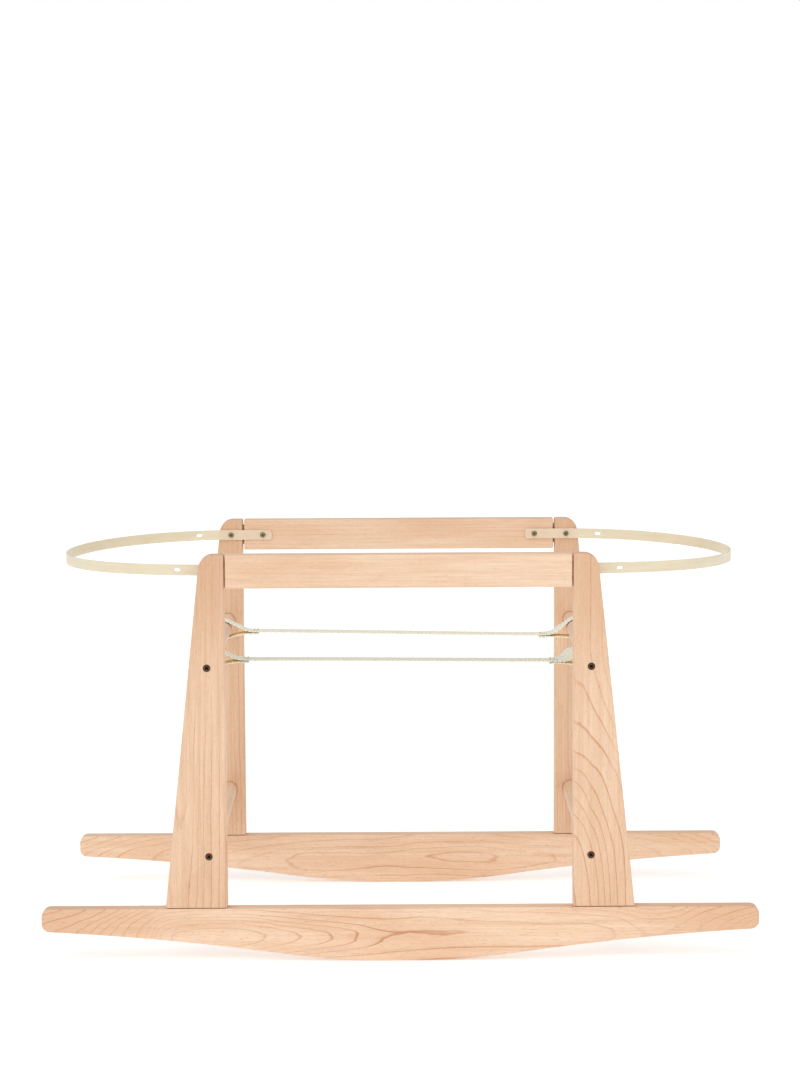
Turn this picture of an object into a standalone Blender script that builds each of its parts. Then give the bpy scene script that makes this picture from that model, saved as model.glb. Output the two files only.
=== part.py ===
"""Rocking stand for a Moses basket, in pale beech.

Two parallel side frames, each a rail, two tapered legs and a rocker, are held apart by
four round crossbars. Two webbing straps looped over the upper crossbars carry the basket,
and a nylon hoop at the head and at the foot keeps it in place.

Metres. X runs along the rockers, Y across the stand and Z up. The origin is on the floor,
under the middle of the stand.
"""

import math

import bmesh
import bpy
from mathutils import Matrix, Vector

# The whole stand
LENGTH = 0.860
WIDTH = 0.430
HEIGHT = 0.4905
BOARD = 0.020
EASE = 0.0015
GAP = 0.0003
ENDS = {"left": -1, "right": 1}
FRAMES = {"front": -1, "back": 1}
LEVELS = {"upper": 0.3555, "lower": 0.1278}

# Rockers: a flat foot in the middle, a rolling arc, then a counter-curve out to the tips
ROCKER_TOP = 0.0645
FOOT_HALF = 0.024
ROLL_RADIUS = 1.090
ROLL_REACH = 0.150
SWEEP_RADIUS = 3.300
TIP_TOP_RADIUS = 0.013
TIP_BOTTOM_RADIUS = 0.012

# Legs: plumb inside, raking outside
LEG_INSIDE = 0.207
LEG_FOOT_OUTSIDE = 0.281
LEG_TOP_OUTSIDE = 0.2355
LEG_CORNER_RADIUS = 0.017

# Rails
RAIL_HEIGHT = 0.040
RAIL_SHADOW_GAP = 0.002

# Crossbars, their sockets in the legs, and the bolts and inserts that hold them
BAR_X = 0.2283
BAR_RADIUS = 0.010
SOCKET_DEPTH = 0.008
BOLT_RADIUS = 0.0025
BOLT_LENGTH = 0.040
BOLT_HEAD_RADIUS = 0.0046
BOLT_HEAD_DEPTH = 0.0024
BOLT_HEAD_SUNK = 0.0006
INSERT_RADIUS = 0.004
INSERT_LENGTH = 0.012

# Dowel pins
PIN_RADIUS = 0.004
PIN_LENGTH = 0.029
PIN_HOLE_DEPTH = 0.0145
RAIL_PIN_SPREAD = 0.009
LEG_PIN_X = {"inner": 0.229, "outer": 0.259}

# Hoops
HOOP_HEIGHT = 0.013
HOOP_THICKNESS = 0.002
HOOP_BEND_X = 0.222
HOOP_END_X = 0.168
HOOP_DROOP = 0.004
HOOP_CORNER_RADIUS = 0.004
HOOP_HOLE_PITCH = 0.042
HOOP_HOLE_RADIUS = 0.0021
HOOP_SLOT_RADIUS = 0.0023
HOOP_SLOT_LENGTH = 0.007
HOOP_BEND_STEPS = 30

# Hoop screws
SCREW_RADIUS = 0.0017
SCREW_HEAD_RADIUS = 0.00345
SCREW_HEAD_HEIGHT = 0.0021
SCREW_LENGTH = 0.015

# Straps
STRAP_WIDTH = 0.025
STRAP_THICKNESS = 0.0018
STRAP_Y = {"front": -0.125, "back": 0.118}
STRAP_BELOW_BAR = 0.0045
STRAP_FORK_X = 0.1955
STRAP_TAIL_X = 0.182

PIN_STEPS = 12
BOLT_STEPS = 16
BAR_STEPS = 24
OVERRUN = 0.002

BEECH = ("beech", (0.838, 0.604, 0.407, 1), 0.55, 0)
BEECH_DOWEL = ("beech_dowel", (0.745, 0.533, 0.352, 1), 0.65, 0)
NYLON = ("ivory_nylon", (0.846, 0.768, 0.584, 1), 0.35, 0)
WEBBING = ("cream_webbing", (0.856, 0.847, 0.730, 1), 0.85, 0)
BRONZE = ("dark_bronze", (0.105, 0.063, 0.035, 1), 0.4, 1)
ZINC = ("zinc_plated_steel", (0.560, 0.550, 0.520, 1), 0.4, 1)


def clear_scene():
    for item in list(bpy.data.objects):
        bpy.data.objects.remove(item, do_unlink=True)


def material_for(finish):
    name, colour, roughness, metallic = finish
    material = bpy.data.materials.get(name)
    if material is None:
        material = bpy.data.materials.new(name)
        material.use_nodes = True
        shader = material.node_tree.nodes["Principled BSDF"]
        shader.inputs["Base Color"].default_value = colour
        shader.inputs["Roughness"].default_value = roughness
        shader.inputs["Metallic"].default_value = metallic
    return material


def mesh_from(bm, name):
    """Turns a finished bmesh into a mesh, with its round faces shaded smooth."""
    bmesh.ops.recalc_face_normals(bm, faces=bm.faces)
    mesh = bpy.data.meshes.new(name)
    bm.to_mesh(mesh)
    bm.free()
    mesh.shade_smooth()
    mesh.set_sharp_from_angle(angle=math.radians(35))
    return mesh


def place_piece(name, mesh, finish, location=(0, 0, 0), direction=None):
    """Adds a piece to the scene. Its local Z is turned to the direction, if one is given."""
    piece = bpy.data.objects.new(name, mesh)
    piece.location = location
    if direction is not None:
        piece.rotation_mode = "QUATERNION"
        piece.rotation_quaternion = Vector(direction).to_track_quat("Z", "Y")
    if not mesh.materials:
        mesh.materials.append(material_for(finish))
    bpy.context.scene.collection.objects.link(piece)
    return piece


def cut_from(piece, cutter_mesh):
    """Cuts a mesh, given in the world's coordinates, out of a piece."""
    cutter = bpy.data.objects.new(piece.name + "_cutter", cutter_mesh)
    cutter.display_type = "WIRE"
    cutter.hide_render = True
    bpy.context.scene.collection.objects.link(cutter)
    modifier = piece.modifiers.new("Holes", "BOOLEAN")
    modifier.operation = "DIFFERENCE"
    modifier.solver = "EXACT"
    modifier.object = cutter


def baked_mesh(mesh, cutter_mesh, name):
    """The mesh with the cutter cut out of it, for a piece that is repeated or bent."""
    body = bpy.data.objects.new(name + "_blank", mesh)
    body.display_type = "WIRE"
    body.hide_render = True
    bpy.context.scene.collection.objects.link(body)
    cut_from(body, cutter_mesh)
    graph = bpy.context.evaluated_depsgraph_get()
    baked = bpy.data.meshes.new_from_object(body.evaluated_get(graph))
    baked.name = name
    baked.materials.clear()
    return baked


def frame_along(direction, start):
    """A matrix whose Z axis runs along the direction from the start point."""
    turn = Vector(direction).to_track_quat("Z", "Y").to_matrix().to_4x4()
    return Matrix.Translation(start) @ turn


def add_turned(bm, profile, place=Matrix(), steps=PIN_STEPS):
    """Adds a turned solid. The profile lists (radius, distance along the axis).

    A profile that starts and ends on the axis is closed by its poles, and any other
    profile is closed on itself, as a tube.
    """
    rings = []
    for radius, height in profile:
        if radius == 0:
            rings.append([bm.verts.new(place @ Vector((0, 0, height)))] * steps)
            continue
        ring = []
        for step in range(steps):
            turn = 2 * math.pi * step / steps
            point = Vector((radius * math.cos(turn), radius * math.sin(turn), height))
            ring.append(bm.verts.new(place @ point))
        rings.append(ring)
    pairs = list(zip(rings, rings[1:]))
    if profile[0][0] > 0:
        pairs.append((rings[-1], rings[0]))
    for low, high in pairs:
        for step in range(steps):
            after = (step + 1) % steps
            corners = [low[step], low[after], high[after], high[step]]
            bm.faces.new(list(dict.fromkeys(corners)))


def add_prism(bm, outline, low, high, place=Matrix()):
    """Adds an outline of (x, y) points, extruded from low to high along Z."""
    face = bm.faces.new([bm.verts.new(place @ Vector((x, y, low))) for x, y in outline])
    grown = bmesh.ops.extrude_face_region(bm, geom=[face])
    raised = [item for item in grown["geom"] if isinstance(item, bmesh.types.BMVert)]
    rise = place.to_3x3() @ Vector((0, 0, high - low))
    bmesh.ops.translate(bm, vec=rise, verts=raised)


def rounded(corners, steps=5):
    """An outline with round corners, from (x, y, radius) corners. Radius 0 stays sharp."""
    outline = []
    count = len(corners)
    for index, (x, y, radius) in enumerate(corners):
        corner = Vector((x, y))
        if radius == 0:
            outline.append(corner)
            continue
        before = (Vector(corners[index - 1][:2]) - corner).normalized()
        after = (Vector(corners[(index + 1) % count][:2]) - corner).normalized()
        half = before.angle(after) / 2
        centre = corner + (before + after).normalized() * radius / math.sin(half)
        start = corner + before * radius / math.tan(half) - centre
        sweep = start.angle_signed(corner + after * radius / math.tan(half) - centre)
        for step in range(steps + 1):
            outline.append(centre + Matrix.Rotation(-sweep * step / steps, 2) @ start)
    return outline


def board_mesh(outline, name):
    """A board: an outline in X and Z, one board thick along Y, with its edges eased."""
    bm = bmesh.new()
    upright = Matrix.Rotation(math.radians(90), 4, "X")
    add_prism(bm, outline, -BOARD / 2, BOARD / 2, upright)
    bmesh.ops.recalc_face_normals(bm, faces=bm.faces)
    sharp = [edge for edge in bm.edges if edge.calc_face_angle() > math.radians(25)]
    bmesh.ops.bevel(bm, geom=sharp, offset=EASE, segments=1, affect="EDGES")
    return mesh_from(bm, name)


def drilled_board(name, outline, frame, holes):
    """A board in the front or back frame, with its holes cut as turned profiles."""
    middle = Vector((0, frame * (WIDTH - BOARD) / 2, 0))
    piece = place_piece(name, board_mesh(outline, name), BEECH, middle)
    bm = bmesh.new()
    for profile, place, steps in holes:
        add_turned(bm, profile, place, steps)
    cut_from(piece, mesh_from(bm, name + "_holes"))


def blind_hole(start, direction, radius, depth):
    """A plain hole from a face into a board."""
    profile = [(0, -OVERRUN), (radius, -OVERRUN), (radius, depth), (0, depth)]
    return profile, frame_along(direction, start), PIN_STEPS


def rocker_underside(x):
    """Height of the rocker's underside at a distance from the middle."""
    x = abs(x)
    foot_drop = ROLL_RADIUS - math.sqrt(ROLL_RADIUS**2 - FOOT_HALF**2)
    rolled = min(x, ROLL_REACH)
    height = ROLL_RADIUS - math.sqrt(ROLL_RADIUS**2 - rolled**2) - foot_drop
    if x <= ROLL_REACH:
        return max(height, 0)
    tilt = math.asin(ROLL_REACH / ROLL_RADIUS)
    sweep_x = ROLL_REACH + SWEEP_RADIUS * math.sin(tilt)
    swept = math.sqrt(SWEEP_RADIUS**2 - (x - sweep_x) ** 2)
    return height + swept - SWEEP_RADIUS * math.cos(tilt)


def rocker_outline():
    roll_steps = 5
    roll = [FOOT_HALF + (ROLL_REACH - FOOT_HALF) * n / roll_steps for n in range(roll_steps + 1)]
    tip = LENGTH / 2
    sweep_steps = 5
    sweep_step = (tip - 2 * TIP_BOTTOM_RADIUS - ROLL_REACH) / sweep_steps
    sweep = [ROLL_REACH + sweep_step * n for n in range(1, sweep_steps + 1)]
    half = roll + sweep
    under = [-x for x in reversed(half)] + half
    corners = [(-tip, ROCKER_TOP, TIP_TOP_RADIUS)]
    corners.append((-tip, rocker_underside(tip), TIP_BOTTOM_RADIUS))
    corners += [(x, rocker_underside(x), 0) for x in under]
    corners.append((tip, rocker_underside(tip), TIP_BOTTOM_RADIUS))
    corners.append((tip, ROCKER_TOP, TIP_TOP_RADIUS))
    return rounded(corners)


def make_rocker(frame_name, frame):
    holes = []
    for end in ENDS.values():
        for x in LEG_PIN_X.values():
            top = (end * x, frame * (WIDTH - BOARD) / 2, ROCKER_TOP)
            holes.append(blind_hole(top, (0, 0, -1), PIN_RADIUS + GAP, PIN_HOLE_DEPTH))
    drilled_board("rocker_" + frame_name, rocker_outline(), frame, holes)


def leg_outline(end):
    foot = ROCKER_TOP + GAP
    corners = [
        (end * LEG_INSIDE, foot, 0),
        (end * LEG_FOOT_OUTSIDE, foot, 0),
        (end * LEG_TOP_OUTSIDE, HEIGHT, LEG_CORNER_RADIUS),
        (end * LEG_INSIDE, HEIGHT, 0),
    ]
    return rounded(corners)


def bolt_hole(end, frame, level):
    """Countersink, bolt hole and crossbar socket in one line, from a leg's outer face in."""
    mouth = BOLT_HEAD_RADIUS + 2 * GAP
    shank = BOLT_RADIUS + GAP
    socket = BAR_RADIUS + GAP
    web = BOARD - SOCKET_DEPTH
    profile = [
        (0, -OVERRUN),
        (mouth, -OVERRUN),
        (mouth, BOLT_HEAD_SUNK),
        (shank, BOLT_HEAD_SUNK + BOLT_HEAD_DEPTH),
        (shank, web),
        (socket, web),
        (socket, BOARD + OVERRUN),
        (0, BOARD + OVERRUN),
    ]
    face = (end * BAR_X, frame * WIDTH / 2, level)
    return profile, frame_along((0, -frame, 0), face), BAR_STEPS


def make_leg(end_name, end, frame_name, frame):
    middle = frame * (WIDTH - BOARD) / 2
    pin_hole = PIN_RADIUS + GAP
    holes = [bolt_hole(end, frame, level) for level in LEVELS.values()]
    for x in LEG_PIN_X.values():
        foot = (end * x, middle, ROCKER_TOP + GAP)
        holes.append(blind_hole(foot, (0, 0, 1), pin_hole, PIN_HOLE_DEPTH))
    for side in (-1, 1):
        edge = (end * LEG_INSIDE, middle, rail_pin_height(side))
        holes.append(blind_hole(edge, (end, 0, 0), pin_hole, PIN_HOLE_DEPTH))
    holes.append(screw_hole(end * HOOP_BEND_X, frame))
    name = f"leg_{frame_name}_{end_name}"
    drilled_board(name, leg_outline(end), frame, holes)


def rail_pin_height(side):
    return HEIGHT - RAIL_HEIGHT / 2 + side * RAIL_PIN_SPREAD


def screw_hole(x, frame):
    """Pilot hole for a hoop screw, from a frame's inner face out."""
    face = (x, frame * (WIDTH / 2 - BOARD), HEIGHT - RAIL_HEIGHT / 2)
    return blind_hole(face, (0, frame, 0), SCREW_RADIUS + GAP, SCREW_LENGTH)


def make_rail(frame_name, frame):
    reach = LEG_INSIDE - RAIL_SHADOW_GAP
    low = HEIGHT - RAIL_HEIGHT
    outline = [(-reach, low), (reach, low), (reach, HEIGHT), (-reach, HEIGHT)]
    middle = frame * (WIDTH - BOARD) / 2
    holes = []
    for end in ENDS.values():
        for side in (-1, 1):
            edge = (end * reach, middle, rail_pin_height(side))
            holes.append(blind_hole(edge, (-end, 0, 0), PIN_RADIUS + GAP, PIN_HOLE_DEPTH))
        holes.append(screw_hole(end * (HOOP_BEND_X - HOOP_HOLE_PITCH), frame))
    drilled_board("rail_" + frame_name, outline, frame, holes)


def make_crossbars():
    """Round bars with a stepped hole in each end, for the insert and the bolt's tip."""
    half = WIDTH / 2 - BOARD + SOCKET_DEPTH - GAP
    insert_end = half - INSERT_LENGTH - 2 * GAP
    bolt_end = WIDTH / 2 - BOLT_HEAD_SUNK - BOLT_LENGTH - GAP
    half_profile = [
        (0, bolt_end),
        (BOLT_RADIUS + GAP, bolt_end),
        (BOLT_RADIUS + GAP, insert_end),
        (INSERT_RADIUS + GAP, insert_end),
        (INSERT_RADIUS + GAP, half),
        (BAR_RADIUS, half),
    ]
    mirrored = [(radius, -height) for radius, height in reversed(half_profile)]
    bm = bmesh.new()
    add_turned(bm, half_profile + mirrored, steps=BAR_STEPS)
    mesh = mesh_from(bm, "crossbar")
    for level_name, level in LEVELS.items():
        for end_name, end in ENDS.items():
            name = f"crossbar_{level_name}_{end_name}"
            place_piece(name, mesh, BEECH, (end * BAR_X, 0, level), (0, 1, 0))


def cross_recess(reach, depth):
    """Cutter for the cross in a screw's head, from the head's top down."""
    arm = 0.00055
    corners = []
    for quarter in range(4):
        turn = Matrix.Rotation(math.radians(90 * quarter), 2)
        corners += [turn @ Vector(point) for point in ((reach, -arm), (reach, arm), (arm, arm))]
    bm = bmesh.new()
    add_prism(bm, corners, -OVERRUN, depth)
    return mesh_from(bm, "cross_recess")


def make_bolts():
    """Countersunk bolts, their heads a little below the legs' outer faces."""
    rim = 0.0003
    tip = 0.0005
    profile = [
        (0, 0),
        (BOLT_HEAD_RADIUS, 0),
        (BOLT_HEAD_RADIUS, rim),
        (BOLT_RADIUS, BOLT_HEAD_DEPTH),
        (BOLT_RADIUS, BOLT_LENGTH - tip),
        (BOLT_RADIUS - tip, BOLT_LENGTH),
        (0, BOLT_LENGTH),
    ]
    bm = bmesh.new()
    add_turned(bm, profile, steps=BOLT_STEPS)
    blank = mesh_from(bm, "bolt_blank")
    mesh = baked_mesh(blank, cross_recess(reach=0.0022, depth=0.0014), "bolt")
    for frame_name, frame in FRAMES.items():
        for level_name, level in LEVELS.items():
            for end_name, end in ENDS.items():
                name = f"bolt_{frame_name}_{level_name}_{end_name}"
                head = (end * BAR_X, frame * (WIDTH / 2 - BOLT_HEAD_SUNK), level)
                place_piece(name, mesh, BRONZE, head, (0, -frame, 0))


def make_inserts():
    """Threaded inserts in the crossbars' ends, as plain tubes."""
    bore = BOLT_RADIUS + GAP
    profile = [(bore, 0), (INSERT_RADIUS, 0), (INSERT_RADIUS, INSERT_LENGTH), (bore, INSERT_LENGTH)]
    bm = bmesh.new()
    add_turned(bm, profile)
    mesh = mesh_from(bm, "insert")
    bar_end = WIDTH / 2 - BOARD + SOCKET_DEPTH - GAP
    for frame_name, frame in FRAMES.items():
        for level_name, level in LEVELS.items():
            for end_name, end in ENDS.items():
                name = f"insert_{frame_name}_{level_name}_{end_name}"
                mouth = (end * BAR_X, frame * (bar_end - GAP), level)
                place_piece(name, mesh, ZINC, mouth, (0, -frame, 0))


def make_pins():
    """Beech dowel pins: two across each joint of rail and leg, two in each foot."""
    chamfer = 0.0006
    half = PIN_LENGTH / 2
    profile = [
        (0, -half),
        (PIN_RADIUS - chamfer, -half),
        (PIN_RADIUS, chamfer - half),
        (PIN_RADIUS, half - chamfer),
        (PIN_RADIUS - chamfer, half),
        (0, half),
    ]
    bm = bmesh.new()
    add_turned(bm, profile)
    mesh = mesh_from(bm, "dowel_pin")
    for frame_name, frame in FRAMES.items():
        middle = frame * (WIDTH - BOARD) / 2
        for end_name, end in ENDS.items():
            joint = end * (LEG_INSIDE - RAIL_SHADOW_GAP / 2)
            for side_name, side in (("lower", -1), ("upper", 1)):
                name = f"rail_pin_{frame_name}_{end_name}_{side_name}"
                centre = (joint, middle, rail_pin_height(side))
                place_piece(name, mesh, BEECH_DOWEL, centre, (1, 0, 0))
            for side_name, x in LEG_PIN_X.items():
                name = f"leg_pin_{frame_name}_{end_name}_{side_name}"
                centre = (end * x, middle, ROCKER_TOP + GAP / 2)
                place_piece(name, mesh, BEECH_DOWEL, centre, (0, 0, 1))


def hoop_radius():
    """Radius of the hoop's bend, to the middle of the strip's thickness."""
    return WIDTH / 2 - BOARD - GAP - HOOP_THICKNESS / 2


def bent_hoop(point):
    """Takes a point of the flat strip to its place on the bent hoop."""
    radius = hoop_radius()
    arc_half = math.pi * radius / 2
    side = math.copysign(1, point.x)
    turn = side * min(abs(point.x), arc_half) / radius
    straight = max(abs(point.x) - arc_half, 0)
    reach = radius + point.y
    x = HOOP_BEND_X + reach * math.cos(turn) - straight
    out = max(x - HOOP_BEND_X, 0) / radius
    z = HEIGHT - RAIL_HEIGHT / 2 + point.z - HOOP_DROOP * out**2
    return Vector((x, -reach * math.sin(turn), z))


def box_corners(middle, reach_x, reach_z):
    """The corners of a box round a middle X, anticlockwise."""
    signs = ((-1, -1), (1, -1), (1, 1), (-1, 1))
    return [(middle + sx * reach_x, sz * reach_z) for sx, sz in signs]


def make_hoops():
    """The strip is cut and drilled flat, then bent to a half circle with straight ends."""
    arc_half = math.pi * hoop_radius() / 2
    half = arc_half + HOOP_BEND_X - HOOP_END_X
    tall = HOOP_HEIGHT / 2
    corner = HOOP_CORNER_RADIUS
    outline = rounded([(x, z, corner) for x, z in box_corners(0, half, tall)], 4)
    through_y = Matrix.Rotation(math.radians(90), 4, "X")
    bm = bmesh.new()
    add_prism(bm, outline, -HOOP_THICKNESS / 2, HOOP_THICKNESS / 2, through_y)
    for step in range(HOOP_BEND_STEPS + 1):
        station = arc_half * (2 * step / HOOP_BEND_STEPS - 1)
        geometry = bm.verts[:] + bm.edges[:] + bm.faces[:]
        bmesh.ops.bisect_plane(bm, geom=geometry, plane_co=(station, 0, 0), plane_no=(1, 0, 0))
    strip = mesh_from(bm, "hoop_strip")

    cuts = bmesh.new()
    thick = HOOP_THICKNESS / 2 + OVERRUN
    hole = [(0, -thick), (HOOP_HOLE_RADIUS, -thick), (HOOP_HOLE_RADIUS, thick), (0, thick)]
    for side in (-1, 1):
        for back in (0, HOOP_HOLE_PITCH):
            place = frame_along((0, 1, 0), (side * (arc_half + back), 0, 0))
            add_turned(cuts, hole, place)
        middle = side * (arc_half - HOOP_HOLE_PITCH)
        slot_box = box_corners(middle, HOOP_SLOT_LENGTH / 2, HOOP_SLOT_RADIUS)
        slot = rounded([(x, z, HOOP_SLOT_RADIUS * 0.99) for x, z in slot_box], 4)
        add_prism(cuts, slot, -thick, thick, through_y)
    mesh = baked_mesh(strip, mesh_from(cuts, "hoop_holes"), "hoop")
    for vertex in mesh.vertices:
        vertex.co = bent_hoop(vertex.co)
    for end_name, end in ENDS.items():
        hoop = place_piece("hoop_" + end_name, mesh, NYLON)
        hoop.rotation_euler.z = 0 if end > 0 else math.pi


def make_hoop_screws():
    """Pan-head screws, two at each hoop's end: one into the leg and one into the rail."""
    head = SCREW_HEAD_RADIUS
    tall = SCREW_HEAD_HEIGHT
    profile = [
        (0, 0),
        (head * 0.62, tall * 0.1),
        (head * 0.92, tall * 0.42),
        (head, tall * 0.85),
        (head, tall),
        (SCREW_RADIUS, tall),
        (SCREW_RADIUS, tall + SCREW_LENGTH * 0.8),
        (0, tall + SCREW_LENGTH),
    ]
    bm = bmesh.new()
    add_turned(bm, profile)
    blank = mesh_from(bm, "hoop_screw_blank")
    mesh = baked_mesh(blank, cross_recess(reach=0.0018, depth=0.0012), "hoop_screw")
    strip_face = WIDTH / 2 - BOARD - GAP - HOOP_THICKNESS
    places = {"leg": HOOP_BEND_X, "rail": HOOP_BEND_X - HOOP_HOLE_PITCH}
    for frame_name, frame in FRAMES.items():
        for end_name, end in ENDS.items():
            for place_name, x in places.items():
                name = f"hoop_screw_{frame_name}_{end_name}_{place_name}"
                top = (end * x, frame * (strip_face - GAP - tall), HEIGHT - RAIL_HEIGHT / 2)
                place_piece(name, mesh, BRONZE, top, (0, frame, 0))


def strap_loop(radius, above, below):
    """Round the far side of the right-hand bar, from the point above to the point below."""
    centre = Vector((BAR_X, STRAP_BELOW_BAR))
    turns = []
    for point, side in ((above, -1), (below, 1)):
        away = Vector(point) - centre
        turns.append(math.atan2(away.y, away.x) % (2 * math.pi) + side * math.acos(radius / away.length))
    sweep = turns[1] - turns[0] - 2 * math.pi
    steps = 18
    loop = []
    for step in range(steps + 1):
        turn = turns[0] + sweep * step / steps
        loop.append(tuple(centre + radius * Vector((math.cos(turn), math.sin(turn)))))
    return loop


def both_ways(points):
    """The points, and their mirror images at the other end, as one outline."""
    return points + [(-x, z) for x, z in reversed(points)]


def make_strap(frame_name):
    """Webbing: one layer between the forks, looped over each upper bar and sewn down.

    Heights are from the middle of the strap's single layer. The origin is in the strap's
    middle, and the strap slides along the bars.
    """
    half = STRAP_THICKNESS / 2
    tail = -3 * half
    inside = BAR_RADIUS + GAP
    outside = inside + STRAP_THICKNESS
    above = (STRAP_FORK_X, half)
    below = (STRAP_FORK_X, tail)
    right = [(STRAP_TAIL_X, half), above]
    right += strap_loop(outside, above, below)
    right += [below, (STRAP_TAIL_X, tail), (STRAP_TAIL_X, -half)]
    upright = Matrix.Rotation(math.radians(90), 4, "X")
    bm = bmesh.new()
    add_prism(bm, both_ways(right), -STRAP_WIDTH / 2, STRAP_WIDTH / 2, upright)
    middle = Vector((0, STRAP_Y[frame_name], LEVELS["upper"] - STRAP_BELOW_BAR))
    name = "strap_" + frame_name
    piece = place_piece(name, mesh_from(bm, name), WEBBING, middle)

    fork = (STRAP_FORK_X, -half)
    eye = [fork] + strap_loop(inside, fork, fork)
    cuts = bmesh.new()
    world = Matrix.Translation(middle) @ upright
    add_prism(cuts, eye, -STRAP_WIDTH, STRAP_WIDTH, world)
    add_prism(cuts, [(-x, z) for x, z in eye], -STRAP_WIDTH, STRAP_WIDTH, world)
    cut_from(piece, mesh_from(cuts, name + "_eyes"))


def main():
    clear_scene()
    for frame_name, frame in FRAMES.items():
        make_rocker(frame_name, frame)
        make_rail(frame_name, frame)
        for end_name, end in ENDS.items():
            make_leg(end_name, end, frame_name, frame)
        make_strap(frame_name)
    make_crossbars()
    make_bolts()
    make_inserts()
    make_pins()
    make_hoops()
    make_hoop_screws()


main()
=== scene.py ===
"""Finished surfaces for a rocking stand that carries a Moses basket.

The stand is pale beech: two side frames on rockers, held apart by round crossbars. Two
webbing straps hang between the upper crossbars, and a nylon hoop is screwed on at each end.
"""

import math

import bmesh
import bpy
from mathutils import Matrix, Vector


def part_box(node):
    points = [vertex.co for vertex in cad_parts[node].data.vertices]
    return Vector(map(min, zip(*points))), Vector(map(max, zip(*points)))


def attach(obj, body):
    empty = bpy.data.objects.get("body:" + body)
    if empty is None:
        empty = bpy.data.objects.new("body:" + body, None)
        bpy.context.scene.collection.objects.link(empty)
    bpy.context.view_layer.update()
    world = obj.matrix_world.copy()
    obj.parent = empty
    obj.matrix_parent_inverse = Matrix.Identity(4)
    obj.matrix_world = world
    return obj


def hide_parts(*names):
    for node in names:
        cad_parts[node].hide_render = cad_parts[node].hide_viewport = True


bl_info = {
    "name": "Rocking Basket Stand",
    "version": (1, 0, 0),
    "blender": (4, 5, 0),
    "location": "View3D > Sidebar > Basket Stand",
    "description": "Builds the timber, fittings, hoops and straps of a rocking basket stand",
    "category": "Add Mesh",
}

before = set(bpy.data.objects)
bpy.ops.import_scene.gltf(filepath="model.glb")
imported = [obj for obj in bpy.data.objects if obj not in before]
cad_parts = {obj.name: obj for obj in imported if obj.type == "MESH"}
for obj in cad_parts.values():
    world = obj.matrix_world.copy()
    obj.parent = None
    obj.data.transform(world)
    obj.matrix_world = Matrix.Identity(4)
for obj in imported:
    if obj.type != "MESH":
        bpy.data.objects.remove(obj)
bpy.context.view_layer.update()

BODY = "stand"
ENDS = {"left": -1, "right": 1}
FRAMES = {"front": -1, "back": 1}
LEVELS = ("upper", "lower")
MM = 0.001

# Room left round a piece in its hole, under a leg and at each end of the front rail
GAP = 0.3 * MM
FOOT_GROOVE = 0.4 * MM
RAIL_ROOM = 0.1 * MM

# Depth of the hoop screws' holes, and how close to a place counts as being there
SCREW_HOLE = 15 * MM
NEAR = 0.1 * MM


# ---------------------------------------------------------------- places in the frame


def middle_of(node):
    """The middle of a node's box."""
    low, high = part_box(node)
    return (low + high) / 2


def size_of(node):
    """The size of a node's box."""
    low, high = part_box(node)
    return high - low


ROCKER_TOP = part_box("rocker_front")[1].z
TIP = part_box("rocker_front")[1].x
BOARD = size_of("rocker_front").y
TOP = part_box("leg_front_right")[1].z
LEG_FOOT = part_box("leg_front_right")[0].z
LEG_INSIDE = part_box("leg_front_right")[0].x
LEG_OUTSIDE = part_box("leg_front_right")[1].x
OUTER_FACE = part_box("leg_back_right")[1].y
INNER_FACE = OUTER_FACE - BOARD
BOARD_MIDDLE = OUTER_FACE - BOARD / 2
RAIL_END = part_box("rail_front")[1].x
RAIL_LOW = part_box("rail_front")[0].z
BAR_X = middle_of("crossbar_upper_right").x
BAR_RADIUS = size_of("crossbar_upper_right").z / 2
BAR_HALF = size_of("crossbar_upper_right").y / 2
LEVEL = {name: middle_of(f"crossbar_{name}_right").z for name in LEVELS}
HOOP_MIDDLE = middle_of("hoop_screw_back_right_leg").z
HOOP_BEND = middle_of("hoop_screw_back_right_leg").x
HOOP_TALL = 2 * (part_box("hoop_right")[1].z - HOOP_MIDDLE)
HOOP_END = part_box("hoop_right")[0].x
HOOP_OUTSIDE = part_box("hoop_right")[1].y
HOOP_DROOP = HOOP_MIDDLE - HOOP_TALL / 2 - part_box("hoop_right")[0].z
SCREW_PITCH = HOOP_BEND - middle_of("hoop_screw_back_right_rail").x
STRAP_Y = {name: middle_of("strap_" + name).y for name in FRAMES}


# ---------------------------------------------------------------- what a user would change


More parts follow.
